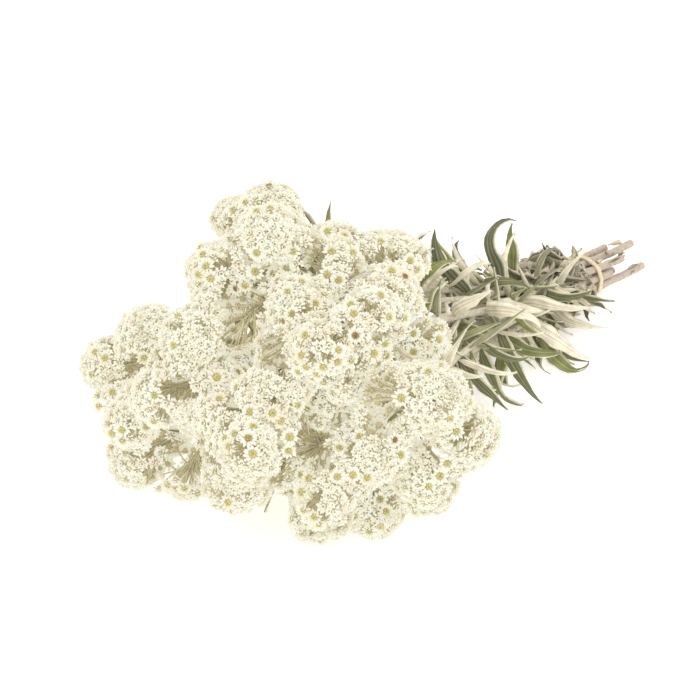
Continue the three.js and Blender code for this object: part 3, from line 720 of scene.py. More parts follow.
def crowded(place, reach):
    """Which places stand closer than reach to one that is kept before them in the list."""
    near = np.linalg.norm(place[:, None] - place, axis=2) < reach
    out = np.zeros(len(place), bool)
    for n in range(1, len(place)):
        out[n] = (near[n, :n] & ~out[:n]).any()
    return out


def drawn_to(place, field):
    """The places after one short Newton step towards the surface where the field is 0."""
    value, slope = field(place)
    return place - slope * np.clip(value / (slope * slope).sum(1), -3, 3)[:, None]


def domes(at, axis, radius, number, widest, seed):
    """Spirals of directions round each axis, cut off at the angle widest. Returns places on the balls, the
    ball that each one stands on, and a seed for each."""
    owner = np.repeat(np.arange(len(at)), number)
    n = np.arange(len(owner)) - np.repeat(np.cumsum(number) - number, number)
    tilt = np.arccos(1 - (n + 0.5) / number[owner] * (1 - math.cos(widest)))
    e, f = square_to(axis)
    way = turned(axis[owner], e[owner], f[owner], tilt, n * GOLDEN_TURN + 7 * draw(seed, 3)[owner])
    return at[owner] + way * radius[owner, None], owner, seed[owner] + n


def lay_out_clumps(tufts, s):
    """Small clumps of heads, as balls that stand side by side on the soft union of all the tufts: of many
    places on it, in a drawn order, each one is kept that isn't too near to one kept before."""
    def field(p):
        return swell(p, tufts["at"], tufts["radius"], s["blend"])

    count = len(tufts["at"])
    number = np.full(count, int(s["clumps"]))
    seed = 90.0 * np.arange(1, count + 1)
    place, _, seed = domes(tufts["at"], tufts["axis"], tufts["radius"], number, TUFT_DOME, seed)
    for _ in range(12):
        place = drawn_to(place, field)
    order = np.argsort(draw(seed, 15))
    order = order[np.abs(field(place[order])[0]) < 0.3]
    place, seed = place[order], seed[order]
    radius = s["clump_radius"] * (0.62 + 0.76 * draw(seed, 13))
    kept = ~crowded(place, CLUMP_SPACING * (radius[:, None] + radius))
    place, seed, radius = place[kept], seed[kept], radius[kept]
    _, slope = field(place)
    out = unit(slope)
    at = place - out * (radius + s["sink"] * (0.8 + 2.8 * draw(seed, 11)))[:, None]
    depth = np.linalg.norm(at[:, None] - tufts["at"], axis=2) - tufts["radius"]
    owner = depth.argmin(1)
    stem = tufts["stem"][owner]
    return {"at": at, "radius": radius, "out": out, "tuft": owner, "stem": stem, "seed": seed}


def place_heads(i, clumps, s):
    """Where the heads of corymb i stand: on a spiral over each of its clumps, where those that stand too
    close push each other apart. Heads inside a neighbouring clump are left out. Returns their places, ways
    out, tufts, seeds, which are open, which are buds, and their reaches."""
    own = clumps["stem"] == i
    at, radius, out = clumps["at"][own], clumps["radius"][own], clumps["out"][own]
    clump_seed = clumps["seed"][own]

    def field(p):
        return swell(p, at, radius, HEAD_BLEND)

    number = np.round(s["heads"] * (radius / s["clump_radius"]) ** 2).astype(int)
    place, owner, seed = domes(at, out, radius, number, CLUMP_DOME, 40.0 * clump_seed)
    depth = np.linalg.norm(place[:, None] - at, axis=2) - radius
    mine = depth.min(1) > -0.35
    place, owner, seed = place[mine], owner[mine], seed[mine]
    kind = draw(seed, 17)
    ripe = 0.25 + 1.5 * draw(clump_seed, 5)[owner]
    young = 0.3 + 1.4 * draw(clump_seed, 7)[owner]
    is_open = kind < s["open_share"] * ripe
    is_bud = kind > 1 - s["bud_share"] * young
    varies = draw(seed, 19) - 0.5
    size = s["half_radius"] * (1 + 0.24 * varies)
    size = np.where(is_open, s["open_radius"] * (1 + 0.16 * varies), size)
    size = np.where(is_bud, s["bud_radius"] * (1 + 0.3 * varies), size)
    reach = s["spacing"] * (size[:, None] + size)
    place = spread(place, reach, 24, lambda p: drawn_to(p, field))
    _, slope = field(place)
    others = np.linalg.norm(place[:, None] - clumps["at"][~own], axis=2) - clumps["radius"][~own]
    kept = others.min(1) > -1.4
    place, owner, seed, size = place[kept], owner[kept], seed[kept], size[kept]
    is_open, is_bud, slope = is_open[kept], is_bud[kept], slope[kept]
    kept = ~crowded(place, CROWDED_SHARE * s["spacing"] * (size[:, None] + size))
    tuft = clumps["tuft"][own][owner]
    return tuple(x[kept] for x in (place, unit(slope), tuft, seed, is_open, is_bud, size))


def bracts(base, axis, size, rows, seed, loose, shape):
    """The bracts of many heads at once. A bract stands on a circle round the head's axis, leans by its first
    angle to its widest place and by its second to its tip, and is a closed, spoon-shaped kite. Returns
    places, triangles, a share from foot to tip and the map places."""
    e, f = square_to(axis)
    spin = draw(seed, 61) * 2 * np.pi
    a, one = axis[:, None], size[:, None, None]
    places = []
    for r, (count, stand, height, lean, bow, length, half) in enumerate(rows):
        j = np.arange(count)
        key = seed[:, None] * 7.0 + 31 * r + j
        turn = spin[:, None] + (j + 0.5 * r + 0.4 * (draw(key, 5) - 0.5)) * 2 * np.pi / count
        ray = round_way(e[:, None], f[:, None], turn)
        edge = round_way(f[:, None], -e[:, None], turn)
        tip_lean = np.radians(lean + loose[:, None] * (draw(key, 7) - 0.4) * 26)[..., None]
        tip_bow = np.radians(bow + loose[:, None] * (draw(key, 9) - 0.4) * 44)[..., None]
        reach = (size[:, None] * length * (0.84 + 0.30 * draw(key, 11)))[..., None]
        wide = one * half
        foot = base[:, None] + ray * (one * stand) + a * (one * height)
        middle = foot + 0.55 * reach * (ray * np.sin(tip_lean) + a * np.cos(tip_lean))
        tip = middle + 0.45 * reach * (ray * np.sin(tip_bow) + a * np.cos(tip_bow))
        inner = a * np.sin(tip_lean) - ray * np.cos(tip_lean)
        sides = [middle - edge * wide + inner * 0.3 * wide, middle + edge * wide + inner * 0.3 * wide]
        middles = [middle - inner * 0.04, middle - inner * 0.26] if shape is FULL_BRACT else []
        places.append(np.stack([foot, *sides, *middles, tip], 2))
    corners = len(shape["share"])
    co = np.concatenate([p.reshape(-1, corners, 3) for p in places])
    tri = (np.arange(len(co))[:, None, None] * corners + np.array(shape["kite"])).reshape(-1, 3)
    return co.reshape(-1, 3), tri, np.tile(shape["share"], len(co)), np.tile(shape["map"], (len(co), 1))


def turnings(base, axis, size, profile, sides):
    """Small turned bodies, one for each head: a profile of (radius, height) pairs, as shares of the head's
    reach, carried round the head's axis. The first and last pairs are points on the axis. Returns places,
    triangles and a share from foot to top."""
    e, f = square_to(axis)
    spokes = round_way(e[:, None], f[:, None], np.arange(sides) * 2 * np.pi / sides)
    radius, height = np.array(profile[1:-1]).T
    rings = (
        base[:, None, None]
        + spokes[:, None] * (size[:, None] * radius)[:, :, None, None]
        + axis[:, None, None] * (size[:, None] * height)[:, :, None, None]
    )
    ends = [base + axis * (size * profile[k][1])[:, None] for k in (0, -1)]
    co = np.concatenate([ends[0][:, None], rings.reshape(len(base), -1, 3), ends[1][:, None]], 1)
    ring = 1 + np.arange(len(radius) * sides).reshape(-1, sides)
    after = np.roll(ring, -1, 1)
    top = 1 + ring.size
    tri = np.concatenate([
        quads(ring[:-1], after[:-1], after[1:], ring[1:]),
        np.stack([0 * ring[0], after[0], ring[0]], -1),
        np.stack([0 * ring[-1] + top, ring[-1], after[-1]], -1),
    ])
    tri = (np.arange(len(base))[:, None, None] * co.shape[1] + tri).reshape(-1, 3)
    last = len(radius) + 1
    level = np.concatenate([[0], np.repeat(np.arange(1, last), sides), [last]])
    return co.reshape(-1, 3), tri, np.tile(level, len(base)) / last


def corymb_heap(i, stem, tufts, clumps, s):
    """One corymb: its neck, branches, fine stalks and flower heads."""
    heap = Heap()
    w = np.linspace(stem["neck"] - 0.012, 1, 8)
    neck = np.vstack([stem_point(stem, w), stem["top"] + 2.5 * stem["out"]])
    radii = np.interp(np.arange(9), [0, 5, 7, 8], [TIP_RADIUS, TIP_RADIUS, 1.9, 1.3])
    co, tri, uv = tubes(neck[None], radii, 9)
    heap.add(co, tri, s["stalk"], CUP, uv)
    place, way, owner, seed, is_open, is_bud, size = place_heads(i, clumps, s)
    tall = size * np.where(is_open, 0.92, np.where(is_bud, 1.62, 1.34))
    stray = np.stack([draw(seed, n) for n in (21, 22, 23)], 1) - 0.5
    face = unit(way + 0.2 * tufts["axis"][owner] + 0.4 * stray)
    lift = np.where(is_open, 0.4, -2.0 * draw(seed, 25) ** 2)
    base = place - face * tall[:, None] + face * lift[:, None]
    for t in stem["own"]:
        branch = spline(tufts["branch"][t], np.linspace(0, 0.94, 12))
        co, tri, uv = tubes(branch[None], np.linspace(BRANCH_RADIUS, 0.7, 12), 8)
        heap.add(co, tri, s["stalk"], CUP, uv)
        which = owner == t
        stalks(heap, tufts["branch"][t], tufts["axis"][t], base[which], face[which], seed[which], s)
    for rows, cup, which in (
        (OPEN_ROWS, OPEN_CUP, is_open),
        (BUD_ROWS, BUD_CUP, is_bud & ~is_open),
        (HALF_ROWS, HALF_CUP, ~is_open & ~is_bud),
    ):
        heads(heap, rows, cup, base[which], face[which], size[which], seed[which], s)
    return heap


def stalks(heap, branch, axis, base, face, seed, s):
    """The fine stalks of a tuft: Bezier curves from places along the end of the branch to the heads' feet."""
    start = spline(branch, 0.5 + 0.42 * draw(seed, 27))
    far = np.linalg.norm(base - start, axis=1)[:, None]
    handles = [start, start + axis * 0.35 * far, base - face * 0.3 * far, base + face * 0.4]
    t = np.broadcast_to(np.linspace(0, 1, 3), (len(base), 3))
    co, tri, uv = tubes(bezier([h[:, None] for h in handles], t), STALK_RADIUS, 3)
    heap.add(above_surface(co), tri, s["stalk"], CUP, uv)


def heads(heap, rows, cup, base, axis, size, seed, s):
    """Flower heads of one age: a woolly cup, a disc of florets and rows of papery bracts."""
    if not len(base):
        return
    is_open = rows is OPEN_ROWS
    co, tri, level = turnings(base, axis, size, cup, 6 if is_open else 5)
    brown = s["cup"] * (0.88 + 0.2 * np.repeat(draw(seed, 29), len(co) // len(base)))[:, None]
    # The cup runs from its brown wool to the bract foot's colour, which is partly painted shade.
    heap.add(above_surface(co), tri, mix(brown, s["bract_foot"], level[:, None] ** 2), CUP)
    if is_open:
        co, tri, level = turnings(base, axis, size, OPEN_DISC, 9)
        ripe = np.repeat(smooth(draw(seed, 33), 0.86, 1.0), len(co) // len(base))[:, None]
        ring = mix(s["disc"], s["disc_old"], ripe)
        core = mix(s["disc_middle"], s["disc_old"] * 0.6, ripe)
        heap.add(above_surface(co), tri, mix(ring, core, (level[:, None] > 0.9) * 1.0), DISC)
    if rows is HALF_ROWS:
        co, tri, level = turnings(base, axis, size, HALF_DISC, 4)
        heap.add(above_surface(co), tri, s["pinhole"], DISC)
    shape = FULL_BRACT if is_open else PLAIN_BRACT
    loose = 0.4 + 1.0 * draw(seed, 37)
    co, tri, from_foot, uv = bracts(base, axis, size, rows, seed, loose, shape)
    corners = len(shape["share"])
    whose = np.concatenate([np.repeat(np.arange(len(base)), row[0] * corners) for row in rows])
    bract = mix(s["bract"], s["bract_old"], (0.75 * draw(seed, 43) ** 2)[whose, None])
    # The bracts run from the foot colour to their own: partly the foot's real colour, partly painted shade
    # deep inside the head.
    tint = mix(s["bract_foot"], bract, smooth(from_foot, 0.02, 0.5)[:, None])
    heap.add(above_surface(co), tri, tint, BRACT, uv, soft=False)


# Leaves and stems

# Where the columns of a leaf's grid run, from edge to edge.
FINE_COLUMNS = [-1, -0.9, -0.66, -SIDE_RIB, -0.2, 0, 0.2, SIDE_RIB, 0.66, 0.9, 1.0]
COARSE_COLUMNS = [-1, -0.84, -SIDE_RIB, 0, SIDE_RIB, 0.84, 1.0]


def leaf_shape(heap, leaf, s, stations):
    """A blade round leaf_point: thin, thinnest at its edges, with its edges rolled under, and ribs along the
    middle and at +-SIDE_RIB that stand out below and are sunk above. Its upper side is green and its lower
    side woolly, or the other way round where the leaf is turned."""
    key = leaf["stem"] * 50.0 + leaf["key"]
    columns = COARSE_COLUMNS if stations < 12 else FINE_COLUMNS
    along, across = np.meshgrid(np.linspace(0, 0.99, stations), columns, indexing="ij")
    middle = leaf_point(leaf, along, across)
    ds = leaf_point(leaf, along + 0.01, across) - leaf_point(leaf, along - 0.01, across)
    left, right = np.maximum(across - 0.05, -1), np.minimum(across + 0.05, 1)
    dv = leaf_point(leaf, along, right) - leaf_point(leaf, along, left)
    under = unit(np.cross(dv, ds))
    off = np.abs(across)
    rib = np.exp(-((across / 0.07) ** 2)) + 0.55 * np.exp(-(((off - SIDE_RIB) / 0.06) ** 2))
    rib = rib * (1 - 0.7 * along)
    edge = smooth(off, 0.62, 1)
    crimp = np.sin(key + along * (20 + 8 * draw(key, 3)) + np.sign(across)) * off**3
    crimp = 0.34 * leaf["width"] * crimp
    sway = crimp * smooth(along, 0, 0.25) * (1 - along) * (1 + 2.2 * leaf["low"])
    thin = mix(s["blade"] / 2, 0.12, edge)
    low_side = middle + under * (thin + 0.32 * rib + sway + 0.8 * edge)[..., None]
    high_side = middle - under * (thin - 0.12 * rib - sway - 0.8 * edge)[..., None]
    index = np.arange(along.size).reshape(along.shape)
    sheet = quads(index[:-1, :-1], index[:-1, 1:], index[1:, 1:], index[1:, :-1])
    rim = np.concatenate([index[0], index[1:, -1], index[-1, -2::-1], index[-2:0:-1, 0]])
    after = np.roll(rim, -1)
    other = along.size
    wall = quads(after, rim, rim + other, after + other)
    tri = np.concatenate([sheet, sheet[:, ::-1] + other, wall])
    co = above_surface(np.concatenate([low_side.reshape(-1, 3), high_side.reshape(-1, 3)]))
    dry = np.clip(leaf["low"] + 0.5 * (draw(key, 5) - 0.5), 0, 1)
    green = mix(s["leaf_top"], s["leaf_dark"], draw(key, 7))
    felt = mix(s["leaf_under"], s["leaf_under_dry"], dry)
    felted = np.clip(0.5 * rib + 0.95 * smooth(off, 0.7, 0.92), 0, 0.95)[..., None]
    top = mix(mix(green, s["leaf_dry"], dry), felt, felted)
    low = mix(felt, s["leaf_under_dry"], 0.3 * np.clip(rib, 0, 1)[..., None])
    if leaf["turned"]:
        top, low = low, top
    uv = np.stack([across / 2 + 0.5, along], -1).reshape(-1, 2)
    tint = np.concatenate([low.reshape(-1, 3), top.reshape(-1, 3)])
    heap.add(co, tri, tint, LEAF, np.concatenate([uv, uv]))


def small_leaf(stem_number, key, foot, along, out, length, width, lift, curl, low=0.0):
    """A leaf that only the looks have: round the neck, along the bundle, near the cut end or between the
    tufts."""
    return {
        "stem": stem_number,
        "key": key,
        "low": low,
        "foot": foot,
        "along": along,
        "out": out,
        "length": length,
        "width": width,
        "lift": lift,
        "curl": curl,
        "twist": 2.2 * (draw(stem_number, 300 + key) - 0.5),
        "fold": 0.35 + 0.5 * low,
        "wave": 0.1 + 0.3 * low,
        "phase": 6 * draw(stem_number, 320 + key),
        "droop": 0.0,
    }


def leaf_seat(stem, w, share):
    """Where a small leaf stands on a stem at w, turned round it by a share of a whole turn. Returns its foot,
    the way along the stem and the way out."""
    along = unit(stem_point(stem, min(w + 0.02, 1)) - stem_point(stem, w - 0.02))
    e, f = square_to(along)
    out = turned(along, e, f, np.pi / 2, 2 * np.pi * share)
    return stem_point(stem, w) + out * 0.6 * stem_radius(w), along, out


def cut_end(heap, end, back, radius, s):
    """The cut end of a stem: a ring of bark, a ring of pith, and a middle that is sunk a little."""
    e, f = square_to(back)
    ring = round_way(e, f, np.arange(STEM_SIDES) * 2 * np.pi / STEM_SIDES)
    bark = end + ring * radius * 0.9 + back * 0.02
    pith = end + ring * radius * 0.55 + back * 0.05
    n = np.arange(STEM_SIDES)
    m = (n + 1) % STEM_SIDES
    fan = np.stack([n + STEM_SIDES, m + STEM_SIDES, 0 * n + 2 * STEM_SIDES], -1)
    tri = np.concatenate([quads(n, m, m + STEM_SIDES, n + STEM_SIDES), fan])
    tint = np.repeat([s["stem_low"] * 0.7, s["pith"]], [STEM_SIDES, STEM_SIDES + 1], axis=0)
    heap.add(np.vstack([bark, pith, end - back * 0.2]), tri, tint, STALK)


def stem_heap(stem, i, leaves, tufts, room, s):
    """One stem with its knots, its cut end, its leaves, the finer foliage and its wool."""
    heap = Heap()
    w = np.linspace(stem["start"], stem["neck"], STEM_STEPS)
    path = stem_point(stem, w)
    far = np.concatenate([[0], np.cumsum(np.linalg.norm(np.diff(path, axis=0), axis=1))])
    knots = 0.10 * np.exp(-(((far / KNOT_SPACING + draw(i, 71)) % 1 - 0.5) / 0.09) ** 2)
    radii = stem_radius(w) * (0.97 + knots * (w < 0.5))
    co, tri, uv = tubes(path[None], radii, STEM_SIDES, 0.05)
    low = smooth(-w, -0.25, 0.55)[:, None]
    tint = np.repeat(mix(s["stem"], s["stem_low"], low), STEM_SIDES, axis=0)
    heap.add(above_surface(co), tri, tint, STALK, uv)
    cut_end(heap, path[0], unit(path[0] - path[1]), radii[0], s)
    for leaf in leaves:
        key, low = leaf["key"], leaf["low"]
        finer = {
            "sway": 0.05 * (0.4 + draw(i, 500 + key)),
            "coil": (1 - 0.4 * low) * (7 * draw(i, 520 + key) - 0.6) * (1.2 - 0.35 * leaf["curl"]),
            "turned": draw(i, 540 + key) < 0.28,
        }
        leaf_shape(heap, leaf | finer, s, 16)
    for leaf in extra_leaves(stem, i, s) + crevice_leaves(stem, i, tufts, room, s):
        leaf_shape(heap, leaf, s, 8 if leaf["length"] > 12 else 5)
    wool(heap, stem, i, s)
    return heap


def extra_leaves(stem, i, s):
    """The finer foliage of a stem: curled-back leaves round the neck, crumpled ones along the bundle,
    shrivelled stubs near the cut end, and long ones among the branches. Nearly half of them show their woolly
    side."""
    found = []
    start, neck = stem["start"], stem["neck"]
    # A row says how many, from where to where on the stem, then the least and the extra length, half width,
    # lift and curl, and how dry they are.
    rows = (
        (s["neck_leaves"], 0.0, 0.66, (20, 24), (1.7, 1.5), (0.45, 0.9), (0.3, 1.9), 0.0),
        (s["bundle_leaves"], -0.42, 0.08, (14, 18), (2.8, 2.4), (0.15, 0.7), (-0.6, 2.4), 0.8),
        (s["stubs"], start + 0.05, -0.3, (5, 8), (0.9, 1.2), (0.25, 0.6), (-1.0, 0.6), 1.0),
        (BRANCH_LEAVES, 0.84 * neck, 0.99 * neck, (36, 24), (2.6, 1.6), (0.2, 0.6), (-0.3, 0.9), 0.0),
    )
    for r, (count, low_w, high_w, *ranges, low) in enumerate(rows):
        for k in range(count):
            key = 100 * (r + 1) + k
            w = mix(low_w, high_w, (k + draw(i, key)) / count)
            if w < start + 0.03:
                continue
            foot, along, out = leaf_seat(stem, w, draw(i, key + 0.1))
            if low and draw(i, key + 0.2) < 0.4:
                along = -along
            sizes = [least + extra * draw(i, key + n / 10) for n, (least, extra) in enumerate(ranges, 3)]
            leaf = small_leaf(i, key, foot, along, out, *sizes, low)
            leaf["turned"] = draw(i, key + 0.7) < 0.45
            leaf["coil"] = 7 * (draw(i, key + 0.8) - 0.3)
            x = leaf_point(leaf, np.linspace(0, 1, 6), 0)[:, 0]
            over_band = x.min() < BAND_PLACE + 4 and x.max() > BAND_PLACE - 4
            if x.max() < CUT_REACH - 3 and not over_band:
                found.append(leaf)
    return found


def crevice_leaves(stem, i, tufts, room, s):
    """Long leaves that find their way out between the tufts: of many draws, the first few whose midrib keeps
    clear of every tuft, near some tuft and inside the room are kept."""
    found = []
    for k in range(CREVICE_DRAWS):
        key = 700 + k
        w = mix(0.84, 1.0, draw(i, key)) * stem["neck"]
        leaf = small_leaf(
            i, key, *leaf_seat(stem, w, draw(i, key + 0.1)),
            length=50 + 26 * draw(i, key + 0.3),
            width=2.4 + 1.2 * draw(i, key + 0.4),
            lift=0.3 + 0.7 * draw(i, key + 0.5),
            curl=1.2 * (draw(i, key + 0.6) - 0.5),
        )
        leaf["turned"] = draw(i, key + 0.7) < 0.3
        midrib = leaf_point(leaf, np.linspace(0.3, 1, 7), 0)
        far = np.linalg.norm(midrib[:, None] - tufts["at"], axis=2) - tufts["radius"]
        inside = (midrib > room[0] + 3).all() and (midrib < room[1] - 3).all()
        held = far.min() > 0 and far.min(1).max() < 8
        if inside and held and len(found) < s["crevice_leaves"]:
            found.append(leaf)
    return found


def wool(heap, stem, i, s):
    """Loose woolly hairs on a stem: thin three-sided needles, bent over towards its top."""
    n = np.arange(s["hairs"])
    w = mix(stem["start"], stem["neck"], draw(i + 0.5, n))
    along = unit(stem_point(stem, np.minimum(w + 0.01, 1)) - stem_point(stem, w - 0.01))
    e, f = square_to(along)
    out = turned(along, e, f, np.full(len(n), np.pi / 2), 6.28 * draw(i + 0.7, n))
    foot = stem_point(stem, w) + out * (0.93 * stem_radius(w))[:, None]
    lean = unit(out + along * (2.4 * (draw(i + 0.9, n) - 0.4))[:, None])
    tip = foot + lean * (0.7 + 1.1 * draw(i + 0.2, n))[:, None]
    side = unit(np.cross(lean, out + 0.3 * along))
    over = np.cross(lean, side)
    feet = [foot + 0.07 * side, foot - 0.035 * side + 0.06 * over, foot - 0.035 * side - 0.06 * over]
    needle = np.array([(0, 1, 3), (1, 2, 3), (2, 0, 3), (0, 2, 1)])
    co = np.stack(feet + [tip], 1).reshape(-1, 3)
    tri = (n[:, None, None] * 4 + needle).reshape(-1, 3)
    heap.add(above_surface(co), tri, s["wool"], STALK)


def loop_corners(a, b, ra, rb):
    """The corners of a loop of straight lines: where the line square to direction a, at its reach ra from the
    middle, meets the next one, of direction b and reach rb. Returns y and z."""
    step = math.sin(b[0] - a[0])
    return np.stack([(ra * np.sin(b) - rb * np.sin(a)) / step, (rb * np.cos(a) - ra * np.cos(b)) / step], 1)


def band_hull(stems, thick):
    """The loop that just touches the stems at the band, thick outside them: for each direction the farthest
    stem gives a straight line, and neighbouring lines meet in the loop's corners. Returns y and z."""
    w = -BAND_PLACE / CUT_REACH
    places = np.array([stem_point(stem, w) for stem in stems])[:, 1:]
    turn = np.arange(LOOP_STEPS) * 2 * np.pi / LOOP_STEPS
    ways = np.stack([np.cos(turn), np.sin(turn)], 1)
    reach = (places @ ways.T).max(0) + stem_radius(w) + thick
    return loop_corners(turn, turn + turn[1], reach, np.roll(reach, -1))


def solid_band_middle(stems):
    """The y of the middle of the solid band's box: the band has BAND_SIDES straight lines round the stems."""
    w = -BAND_PLACE / CUT_REACH
    _, y, z = np.array([stem_point(stem, w) for stem in stems]).T
    turn = np.arange(BAND_SIDES + 1) * (2 * np.pi / BAND_SIDES)
    reach = np.max(np.outer(np.cos(turn), y) + np.outer(np.sin(turn), z), axis=1)
    reach += stem_radius(w) + BAND_GAP + BAND_THICKNESS
    y = loop_corners(turn[:-1], turn[1:], reach[:-1], reach[1:])[:, 0]
    return (y.min() + y.max()) / 2


def band_heap(stems, s):
    """The elastic loop: a rounded, flat section carried round the stems. Its x is the band's half width times
    a power of the cosine, its share of the thickness a power of the sine, and its edges waver along x."""
    inner = band_hull(stems, LOOP_GAP)
    outer = band_hull(stems, LOOP_GAP + BAND_THICKNESS)
    turn = np.arange(LOOP_SIDES) * 2 * np.pi / LOOP_SIDES
    flat = np.abs(np.cos(turn)) ** 0.5 * np.sign(np.cos(turn))
    deep = 0.5 + 0.5 * np.abs(np.sin(turn)) ** 0.6 * np.sign(np.sin(turn))
    waver = s["slack"] * np.sin(np.arange(LOOP_STEPS) * 2 * np.pi / LOOP_STEPS * LOOP_WAVES)
    x = BAND_PLACE + BAND_WIDTH / 2 * 0.9 * flat[None] + waver[:, None]
    yz = inner[:, None] + (outer - inner)[:, None] * deep[None, :, None]
    a = np.arange(LOOP_STEPS * LOOP_SIDES).reshape(LOOP_STEPS, LOOP_SIDES)
    b = np.roll(a, -1, 0)
    a1, b1 = np.roll(a, -1, 1), np.roll(b, -1, 1)
    tri = np.concatenate([np.stack([a, b1, a1], -1), np.stack([a, b, b1], -1)])
    heap = Heap()
    heap.add(np.concatenate([x[..., None], yz], -1), tri, s["rubber"], 0)
    return heap


# Materials

# The numbers of the plant materials in a piece.
STALK, BRACT, DISC, LEAF, CUP = range(5)


def nodes_of(name):
    """A new material with one Principled shader: returns the material, its shader and its node tree."""
    material = bpy.data.materials.new(name)
    material.use_nodes = True
    tree = material.node_tree
    return material, tree.nodes["Principled BSDF"], tree


def link(tree, a, b):
    """Joins output a to input b."""
    tree.links.new(a, b)


def noise(tree, vector, scale, detail=4.0, rough=0.6):
    """A noise texture on the given coordinates; its factor output."""
    node = tree.nodes.new("ShaderNodeTexNoise")
    node.inputs["Scale"].default_value = scale
    node.inputs["Detail"].default_value = detail
    node.inputs["Roughness"].default_value = rough
    link(tree, vector, node.inputs["Vector"])
    return node.outputs["Fac"]


def ramp(tree, factor, stops):
    """A colour ramp with the given (place, colour) stops; its colour output."""
    node = tree.nodes.new("ShaderNodeValToRGB")
    stops_made = node.color_ramp.elements
    while len(stops_made) < len(stops):
        stops_made.new(0.5)
    for made, (place, colour) in zip(stops_made, stops):
        made.position = place
        made.color = (*colour, 1)
    link(tree, factor, node.inputs["Fac"])
    return node.outputs["Color"]


def times(tree, a, b):
    """Two colours multiplied; the product."""
    node = tree.nodes.new("ShaderNodeMix")
    node.data_type = "RGBA"
    node.blend_type = "MULTIPLY"
    node.inputs["Factor"].default_value = 1.0
    link(tree, a, node.inputs["A"])
    link(tree, b, node.inputs["B"])
    return node.outputs["Result"]


def bump(tree, shader, height, strength, distance):
    """Tilts the shader's normal by the slope of a height."""
    node = tree.nodes.new("ShaderNodeBump")
    node.inputs["Strength"].default_value = strength
    node.inputs["Distance"].default_value = distance
    link(tree, height, node.inputs["Height"])
    link(tree, node.outputs["Normal"], shader.inputs["Normal"])


def grey(x):
    """A colour with all three parts alike."""
    return (x, x, x)


def scaled(tree, vector, scale):
    """The coordinates times a scale for each axis."""
    node = tree.nodes.new("ShaderNodeMapping")
    node.inputs["Scale"].default_value = scale
    link(tree, vector, node.inputs["Vector"])
    return node.outputs["Vector"]


def tinted(name, low, high, scale, rough, sheen):
    """A material whose colour is the piece's tint, varied by noise between two greys. Returns the material,
    its shader, node tree and coordinates, and the colour."""
    material, shader, tree = nodes_of(name)
    place = tree.nodes.new("ShaderNodeTexCoord")
    tint = tree.nodes.new("ShaderNodeAttribute")
    tint.attribute_name = "tint"
    cloud = ramp(tree, noise(tree, place.outputs["Object"], scale), [(0.3, grey(low)), (0.7, grey(high))])
    colour = times(tree, tint.outputs["Color"], cloud)
    shader.inputs["Roughness"].default_value = rough
    shader.inputs["Sheen Weight"].default_value = sheen
    shader.inputs["Specular IOR Level"].default_value = 0.3
    return material, shader, tree, place, colour


def papery_bract():
    """White papery bracts: fine lines from foot to tip, and a painted glow in their own tint, standing in for
    the light that comes through them.
    """
    material, shader, tree, place, colour = tinted("papery_bract", 0.94, 1.0, 260, 0.55, 0.15)
    link(tree, colour, shader.inputs["Base Color"])
    lines = noise(tree, scaled(tree, place.outputs["UV"], (9, 0.6, 1)), 2.0, 2.0)
    bump(tree, shader, lines, 0.35, 0.0003)
    # Painted glow: the bracts give off light in their own tint, which lifts their shade.
    link(tree, colour, shader.inputs["Emission Color"])
    shader.inputs["Emission Strength"].default_value = 0.80
    return material


def disc_florets():
    """The disc's crowded florets: small round bumps, each painted lighter in its middle and darker towards
    its edge as shade between them.
    """
    material, shader, tree, place, colour = tinted("disc_florets", 0.7, 1.15, 900, 0.8, 0.2)
    cells = tree.nodes.new("ShaderNodeTexVoronoi")
    cells.inputs["Scale"].default_value = 1700
    link(tree, place.outputs["Object"], cells.inputs["Vector"])
    # Painted shade: the colour darkens from each floret's middle to its edge, with the same pattern as the
    # bumps.
    floret_bumps_and_shade = ramp(tree, cells.outputs["Distance"], [(0.0, grey(1.0)), (0.75, grey(0.45))])
    link(tree, times(tree, colour, floret_bumps_and_shade), shader.inputs["Base Color"])
    bump(tree, shader, floret_bumps_and_shade, 0.8, 0.0004)
    return material


def woolly_stalk(name, glow):
    """Stems, stalks and cups under matted wool: pale patches and fine threads along the stalk. Among the
    heads they have a painted glow, which lifts the shade between the heads."""
    material, shader, tree, place, colour = tinted(name, 0.72, 1.12, 420, 0.9, 0.5)
    # Painted glow: the material gives off light in its own tint, as strongly as glow says.
    link(tree, colour, shader.inputs["Emission Color"])
    shader.inputs["Emission Strength"].default_value = glow
    threads = noise(tree, scaled(tree, place.outputs["UV"], (14, 0.55, 1)), 2.6, 5.0, 0.7)
    patches = ramp(tree, threads, [(0.35, grey(0.72)), (0.62, grey(1.08))])
    link(tree, times(tree, colour, patches), shader.inputs["Base Color"])
    bump(tree, shader, times(tree, threads, noise(tree, place.outputs["Object"], 1500)), 0.6, 0.0006)
    return material


def leaf_blade():
    """Leaves: finer nerves along the blade, mottled colour and a felted bump."""
    material, shader, tree, place, colour = tinted("leaf_blade", 0.78, 1.12, 160, 0.72, 0.08)
    nerves = noise(tree, scaled(tree, place.outputs["UV"], (13, 0.5, 1)), 1.6, 3.0)
    shade = ramp(tree, nerves, [(0.36, grey(0.60)), (0.5, grey(1.0)), (0.64, grey(1.15))])
    link(tree, times(tree, colour, shade), shader.inputs["Base Color"])
    bump(tree, shader, times(tree, nerves, noise(tree, place.outputs["Object"], 900)), 0.5, 0.0005)
    return material


